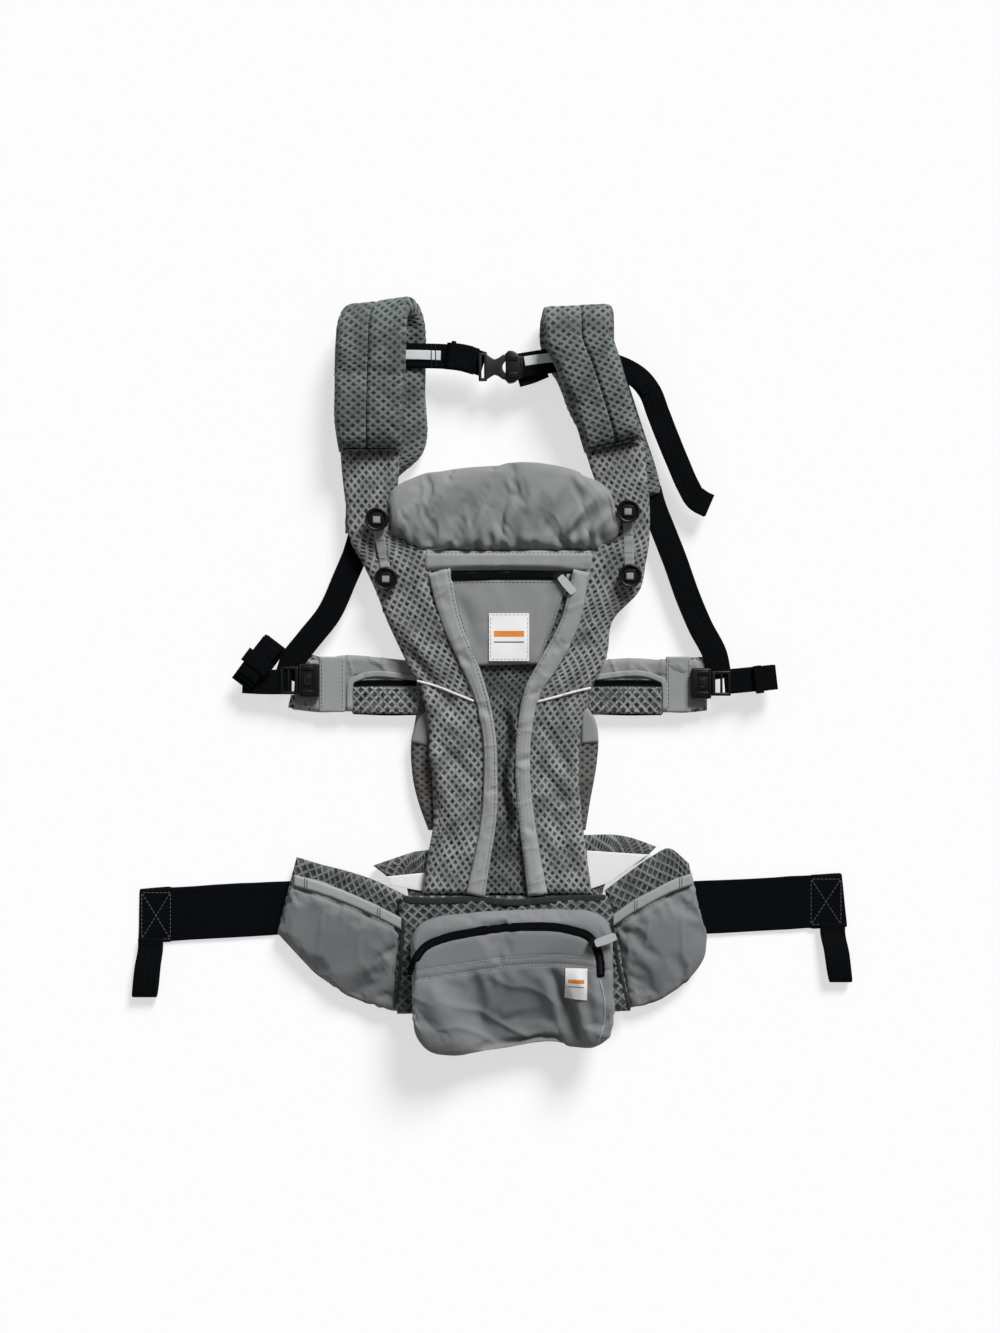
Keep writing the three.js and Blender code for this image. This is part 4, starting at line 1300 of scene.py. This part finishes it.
def chest_strap():
    z = sum(heights("chest_webbing_left")) / 2
    left = webbing("cloth_chest_webbing_left", [(-99, 321, z), (-75, 320.5, z + 0.5), (-46, 319.5, z + 1),
                                                (-30, 318, z + 1), (-10, 312, z)], None,
                   replaces=["chest_webbing_left"])
    tape = webbing("reflective_left", [(-95, 321.6, z + 1.9), (-75, 321.2, z + 2.3), (-53, 320.4, z + 2.6)],
                   None, width=9.5, thick=0.8, material="reflective")
    bars = [bar(x, x + 1, 308.5, 332, z + 1.5, z + 3.2, 0.3) for x in (-63, -58.5)]
    marks = merged("reflective_bars_left", bars, "black_thread", None)
    for piece in (left, tape, marks):
        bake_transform(piece)
    body = "chest_buckle"
    webbing("cloth_chest_keeper", [(-48, 320, z + 3.5), (-32, 318, z + 4), (-17, 314, z + 3)], body, width=27,
            replaces=["chest_keeper"], slack=0.6)
    webbing("chest_keeper_fold", [(-46, 320.5, z + 6.2), (-34, 319, z + 6.8), (-22, 316.5, z + 6)], body,
            width=25, slack=0.6)
    webbing("chest_keeper_band", [(-44, 320.5, z + 8), (-41, 320, z + 8.4), (-38, 319.8, z + 8.3)], body,
            width=28, thick=1.6)
    webbing("cloth_chest_webbing_right",
            [(25, 310, z + 2), (42, 313, z + 1), (62, 316, z), (82, 317, z - 0.5)],
            "harness", replaces=["chest_webbing_right"])
    webbing("reflective_right", [(31, 314.5, z + 3.2), (46, 317, z + 2.4), (62, 319, z + 1.6)], "harness",
            width=9.5, thick=0.8, material="reflective")
    webbing("chest_loop_right", [(24, 299, z - 2), (38, 303, z - 2), (52, 309, z - 3)], "harness", width=20)
    tail = smooth_line([(118, 313, z - 3), (134, 306, z - 2), (146, 298, z), (157, 284, z + 1), (165, 264, z),
                        (175, 238, z), (186, 212, z - 2), (196, 190, z - 4), (205, 176, z - 6),
                        (217, 170, z - 8)], 5)
    webbing("cloth_chest_tail", tail, "harness", replaces=["chest_tail"], width=23, slack=0.8)
    webbing("chest_tail_hem", [(204, 178, z - 3), (211, 173.5, z - 4.5), (218, 170.5, z - 6)], "harness",
            width=23.5, thick=2.4)
    webbing("chest_tail_loop", [(143, 296, z + 2.6), (150, 290, z + 3.2), (155, 283, z + 3)], "harness",
            width=12, thick=1.6)


# ---------------------------------------------------------------- buckles
def mirrored(half, centre):
    """A closed outline from its upper half, given as offsets from a centre line."""
    x0, y0 = centre
    upper = [(x0 + x, y0 + y) for x, y in half]
    return upper + [(x0 + x, y0 - y) for x, y in reversed(half)]


def side_buckle(side):
    """A side release buckle: a shell with release panel and ladder bars, and the clip that slides out."""
    name = f"side_buckle_{side}"
    low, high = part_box(f"{name}_female")
    y, z0, z1 = (low.y + high.y) / 2 / MM, low.z / MM, high.z / MM
    half = (high.y - low.y) / 2 / MM
    out = -1 if side == "left" else 1
    mouth = (low.x if side == "left" else high.x) / MM
    length = (high.x - low.x) / MM

    def along(distance):
        return mouth - out * distance

    def panel(start, end, y0, y1, base, top, bevel=0.7):
        a, b = sorted((along(start), along(end)))
        return bar(a, b, y + y0, y + y1, base, top, bevel)

    rim = z1 - 0.2
    shell = [panel(0, length, -half, half, z0, z1 - 1.2, 2.0)]
    shell += [panel(0.5, 3.0, -half + 1, half - 1, z1 - 2, rim),
              panel(14.5, length, -half + 1, half - 1, z1 - 2, rim)]
    shell += [panel(3, 15, sign * (half - 5) - 2.2, sign * (half - 5) + 2.2, z1 - 2, rim) for sign in (-1, 1)]
    shell += [panel(5, 13, -6, 6, z1 - 2, z1 - 0.4, 0.5)]
    shell += [panel(start, start + 1.1, sign * (half - 5) - 1.8, sign * (half - 5) + 1.8, rim - 0.6,
                    rim + 0.6, 0.3)
              for sign in (-1, 1) for start in (5, 7.4, 9.8)]
    merged(f"cloth_{name}_shell", shell, "plastic", f"arm_{side}", [f"{name}_female"])
    mark = [panel(6, 7.2, -4, 4, z1 - 0.7, z1, 0.2), panel(6, 12, -4, -2.8, z1 - 0.7, z1, 0.2),
            panel(6, 12, 2.8, 4, z1 - 0.7, z1, 0.2)]
    merged(f"{name}_release", mark, "grey_plastic", f"arm_{side}")

    low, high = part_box(f"{name}_male")
    reach = abs((low.x if side == "left" else high.x) / MM - mouth)
    middle = (low.z + high.z) / 2 / MM
    width = (high.y - low.y) / 2 / MM
    clip = [panel(0, -4, -width, width, middle - 3.4, middle + 3.4, 1.2),
            panel(-reach, -reach + 3.2, -width, width, middle - 3.2, middle + 3.2, 1.2),
            panel(-9, -11.4, -width + 1, width - 1, middle - 1.4, middle + 2.6, 0.9)]
    clip += [panel(0, -reach, sign * (width - 1.6) - 1.6, sign * (width - 1.6) + 1.6, middle - 3.2,
                   middle + 3.2, 1.0)
             for sign in (-1, 1)]
    merged(f"cloth_{name}_clip", clip, "plastic", name, [f"{name}_male"])


def chest_buckle():
    low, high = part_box("chest_buckle_female")
    x0, x1, z0, z1 = low.x / MM, high.x / MM, low.z / MM, high.z / MM
    y, half = (low.y + high.y) / 2 / MM, (high.y - low.y) / 2 / MM
    outline = mirrored([(0, half - 4), (3, half - 0.5), (9, half - 1.5), (x1 - x0 - 2, half - 6),
                        (x1 - x0, half - 9)], (x0, y))
    shell = [block(outline, z0, z1 - 0.8, 2.0)]
    shell += [bar(x0 + 3, x0 + 12, y + sign * 8.5 - 3, y + sign * 8.5 + 3, z1 - 2, z1, 0.8)
              for sign in (-1, 1)]
    shell += [bar(x0 + 12.5, x1 + 1.5, y - 11, y + 11, z0 + 1, z1 - 1.5, 1.4)]
    merged("cloth_chest_buckle_shell", shell, "plastic", "harness", ["chest_buckle_female"])
    low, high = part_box("chest_buckle_male")
    x0, z0, z1 = low.x / MM, low.z / MM, high.z / MM
    y, half = (low.y + high.y) / 2 / MM, (high.y - low.y) / 2 / MM
    outline = mirrored([(6, half - 1), (9, half - 2), (12.5, 9.5), (16, 7.5), (20, 9), (24, 12), (28, 13),
                        (28.5, 8), (24.5, 3), (24, 1)], (x0, y))
    clip = [block(outline, z0, z1, 1.0), bar(x0, x0 + 3, y - half, y + half, z0, z1, 1.1),
            bar(x0 + 5.5, x0 + 8.5, y - half, y + half, z0, z1, 1.1)]
    clip += [bar(x0, x0 + 8, y + sign * (half - 1.5) - 1.5, y + sign * (half - 1.5) + 1.5, z0, z1, 1.0)
             for sign in (-1, 1)]
    merged("cloth_chest_buckle_clip", clip, "grey_plastic", "chest_buckle",
           ["chest_buckle_male"])


# ---------------------------------------------------------------- buttons
def buttons(panels):
    """Round buttons, each with a raised ring and a slot that shows the tape that it is sewn on with."""
    for side, panel in panels.items():
        centres = {}
        for level, body in (("upper", "harness"), ("lower", "panel")):
            name = f"button_{level}_{side}"
            low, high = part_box(name)
            x, y, top = (low.x + high.x) / 2 / MM, (low.y + high.y) / 2 / MM, high.z / MM
            centres[level] = (x, y)
            slot = [bar(x - 5, x + 5, y + sign * 4.6 - 0.8, y + sign * 4.6 + 0.8, top - 2, top + 0.2, 0.4)
                    for sign in (-1, 1)]
            slot += [bar(x + sign * 4.6 - 0.8, x + sign * 4.6 + 0.8, y - 5, y + 5, top - 2, top + 0.2, 0.4)
                     for sign in (-1, 1)]
            merged(f"{name}_rim", [ring((x, y), 10.4, 1.1, top - 0.2), *slot], "plastic", name)
            patch = merged(f"{name}_tape",
                           [bar(x - 3.8, x + 3.8, y - 3.6, y + 3.6, top - 2.2, top - 0.9, 0.3)],
                           "twill_painted_lit", None)
            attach(patch, name)
        (x0, y0), (x1, y1) = centres["upper"], centres["lower"]
        route = drop(smooth_line([(x0, y0 - 6), ((x0 + x1) / 2, (y0 + y1) / 2), (x1, y1 + 6)], 3), [panel],
                     1.2)
        tape = Slab(*beside(route, 10), 1.8, step=1.8, rim=0.9)
        strip = link(f"button_strip_{side}", tape.mesh("strip"), "twill_painted_lit")
        middle = ((x0 + x1) / 2, (y0 + y1) / 2)
        lines = [[(middle[0] - 4, middle[1] + k), (middle[0] + 4, middle[1] + k)] for k in (-9, 9)]
        sewn = stitches(f"button_strip_stitches_{side}", lines, [strip], None, length=1.6, gap=0.4)
        for piece in (strip, sewn):
            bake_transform(piece)


# ---------------------------------------------------------------- trim
def piping(panels):
    for side, points in (("left", [(-76, -6), (-58, -11), (-40, -18), (-20, -26)]),
                         ("right", [(43, -27), (62, -22), (80, -17), (97, -13)])):
        laid = drop(smooth_line(points, 3), [panels[side]], 0.9)
        merged(f"side_piping_{side}", [tube(laid, 1.25)], "piping", "panel")


def finish_cad_nodes():
    """CAD nodes whose shape already shows keep it, with rounded edges and a finished material."""
    kept = {
        "plastic": ["pocket_slider", "pouch_slider",
                    *(f"button_{level}_{side}" for level in ("upper", "lower")
                      for side in ("left", "right"))],
        "grey_plastic": [f"{name}_prong_{prong}" for name in ("side_buckle_left", "side_buckle_right",
                                                              "chest_buckle") for prong in "ab"],
        "steel": ["pocket_pull_tab", "pouch_pull_tab"],
    }
    for material, names in kept.items():
        for name in names:
            node = NODES[name]
            node.data.materials.clear()
            node.data.materials.append(MATERIALS[material])
            edges = node.modifiers.new("edges", "BEVEL")
            edges.width = 0.0006
            edges.segments = 3
            node.data.shade_smooth()
            node.data.set_sharp_from_angle(angle=math.radians(32))


# ---------------------------------------------------------------- stage
PICTURE_HEIGHT = 1333  # mm of the object's plane that the picture shows
PICTURE_CENTRE = (6.5, 8.5)
CAMERA_DISTANCE = 1850
TYPICAL_HEIGHT = 30
FLOOR_SIZE = 40.0
FLOOR_ALBEDO = 0.36
FLOOR_GLOW = 0.62  # keeps the floor pale where the soft shadows fall
FLOOR_DROP = 0.0006  # metres, so that the lowest cloth doesn't share a plane with the floor
SKY_STRENGTH = 0.22
KEY_ENERGY = 4.3
KEY_SOFTNESS = math.radians(20)
KEY_DIRECTION = (-0.45, -1.0, -0.76)


def stage():
    scene = bpy.context.scene
    camera = bpy.data.cameras.new("camera")
    camera.sensor_width = 36
    camera.lens = camera.sensor_width * (CAMERA_DISTANCE - TYPICAL_HEIGHT) / PICTURE_HEIGHT
    holder = bpy.data.objects.new("camera", camera)
    holder.location = (PICTURE_CENTRE[0] * MM, PICTURE_CENTRE[1] * MM, CAMERA_DISTANCE * MM)
    scene.collection.objects.link(holder)
    scene.camera = holder
    plane = bpy.data.meshes.new("floor")
    corners = [(-1, -1), (1, -1), (1, 1), (-1, 1)]
    plane.from_pydata([(FLOOR_SIZE * x, FLOOR_SIZE * y, 0) for x, y in corners], [], [(0, 1, 2, 3)])
    paint = Shader("floor_paint", (FLOOR_ALBEDO, FLOOR_ALBEDO, FLOOR_ALBEDO, 1), 0.95, specular=0.0)
    paint.base.inputs["Emission Color"].default_value = (1, 1, 1, 1)
    paint.base.inputs["Emission Strength"].default_value = FLOOR_GLOW
    plane.materials.append(paint.material)
    floor = bpy.data.objects.new("floor", plane)
    floor.location.z = -FLOOR_DROP
    scene.collection.objects.link(floor)
    world = bpy.data.worlds.new("studio")
    world.use_nodes = True
    background = world.node_tree.nodes["Background"]
    background.inputs["Color"].default_value = (1, 1, 1, 1)
    background.inputs["Strength"].default_value = SKY_STRENGTH
    scene.world = world
    sun = bpy.data.lights.new("key", "SUN")
    sun.energy = KEY_ENERGY
    sun.angle = KEY_SOFTNESS
    lamp = bpy.data.objects.new("key", sun)
    lamp.rotation_euler = Vector(KEY_DIRECTION).to_track_quat("-Z", "Y").to_euler()
    scene.collection.objects.link(lamp)
    scene.view_settings.view_transform = "Standard"


def build():
    panels = side_panels()
    rails()
    centre_panel()
    inner_panel()
    band = header_band()
    pocket = upper_pocket(band)
    headrest()
    shoulder_straps()
    side_arms()
    waist_belt()
    bag = pouch()
    zip_closure("pocket_zip", [(-44, 97.5), (14, 98.6), (73, 98.5)], 7.5, [pocket], 0.4)
    zip_closure("pouch_zip", POUCH_ARCH, 9, [bag], 0.6)
    labels(pocket, bag)
    side_webbings()
    side_tails()
    chest_strap()
    side_buckle("left")
    side_buckle("right")
    chest_buckle()
    buttons(panels)
    piping(panels)
    blend_side_panels(panels)
    finish_cad_nodes()


stage()
build()
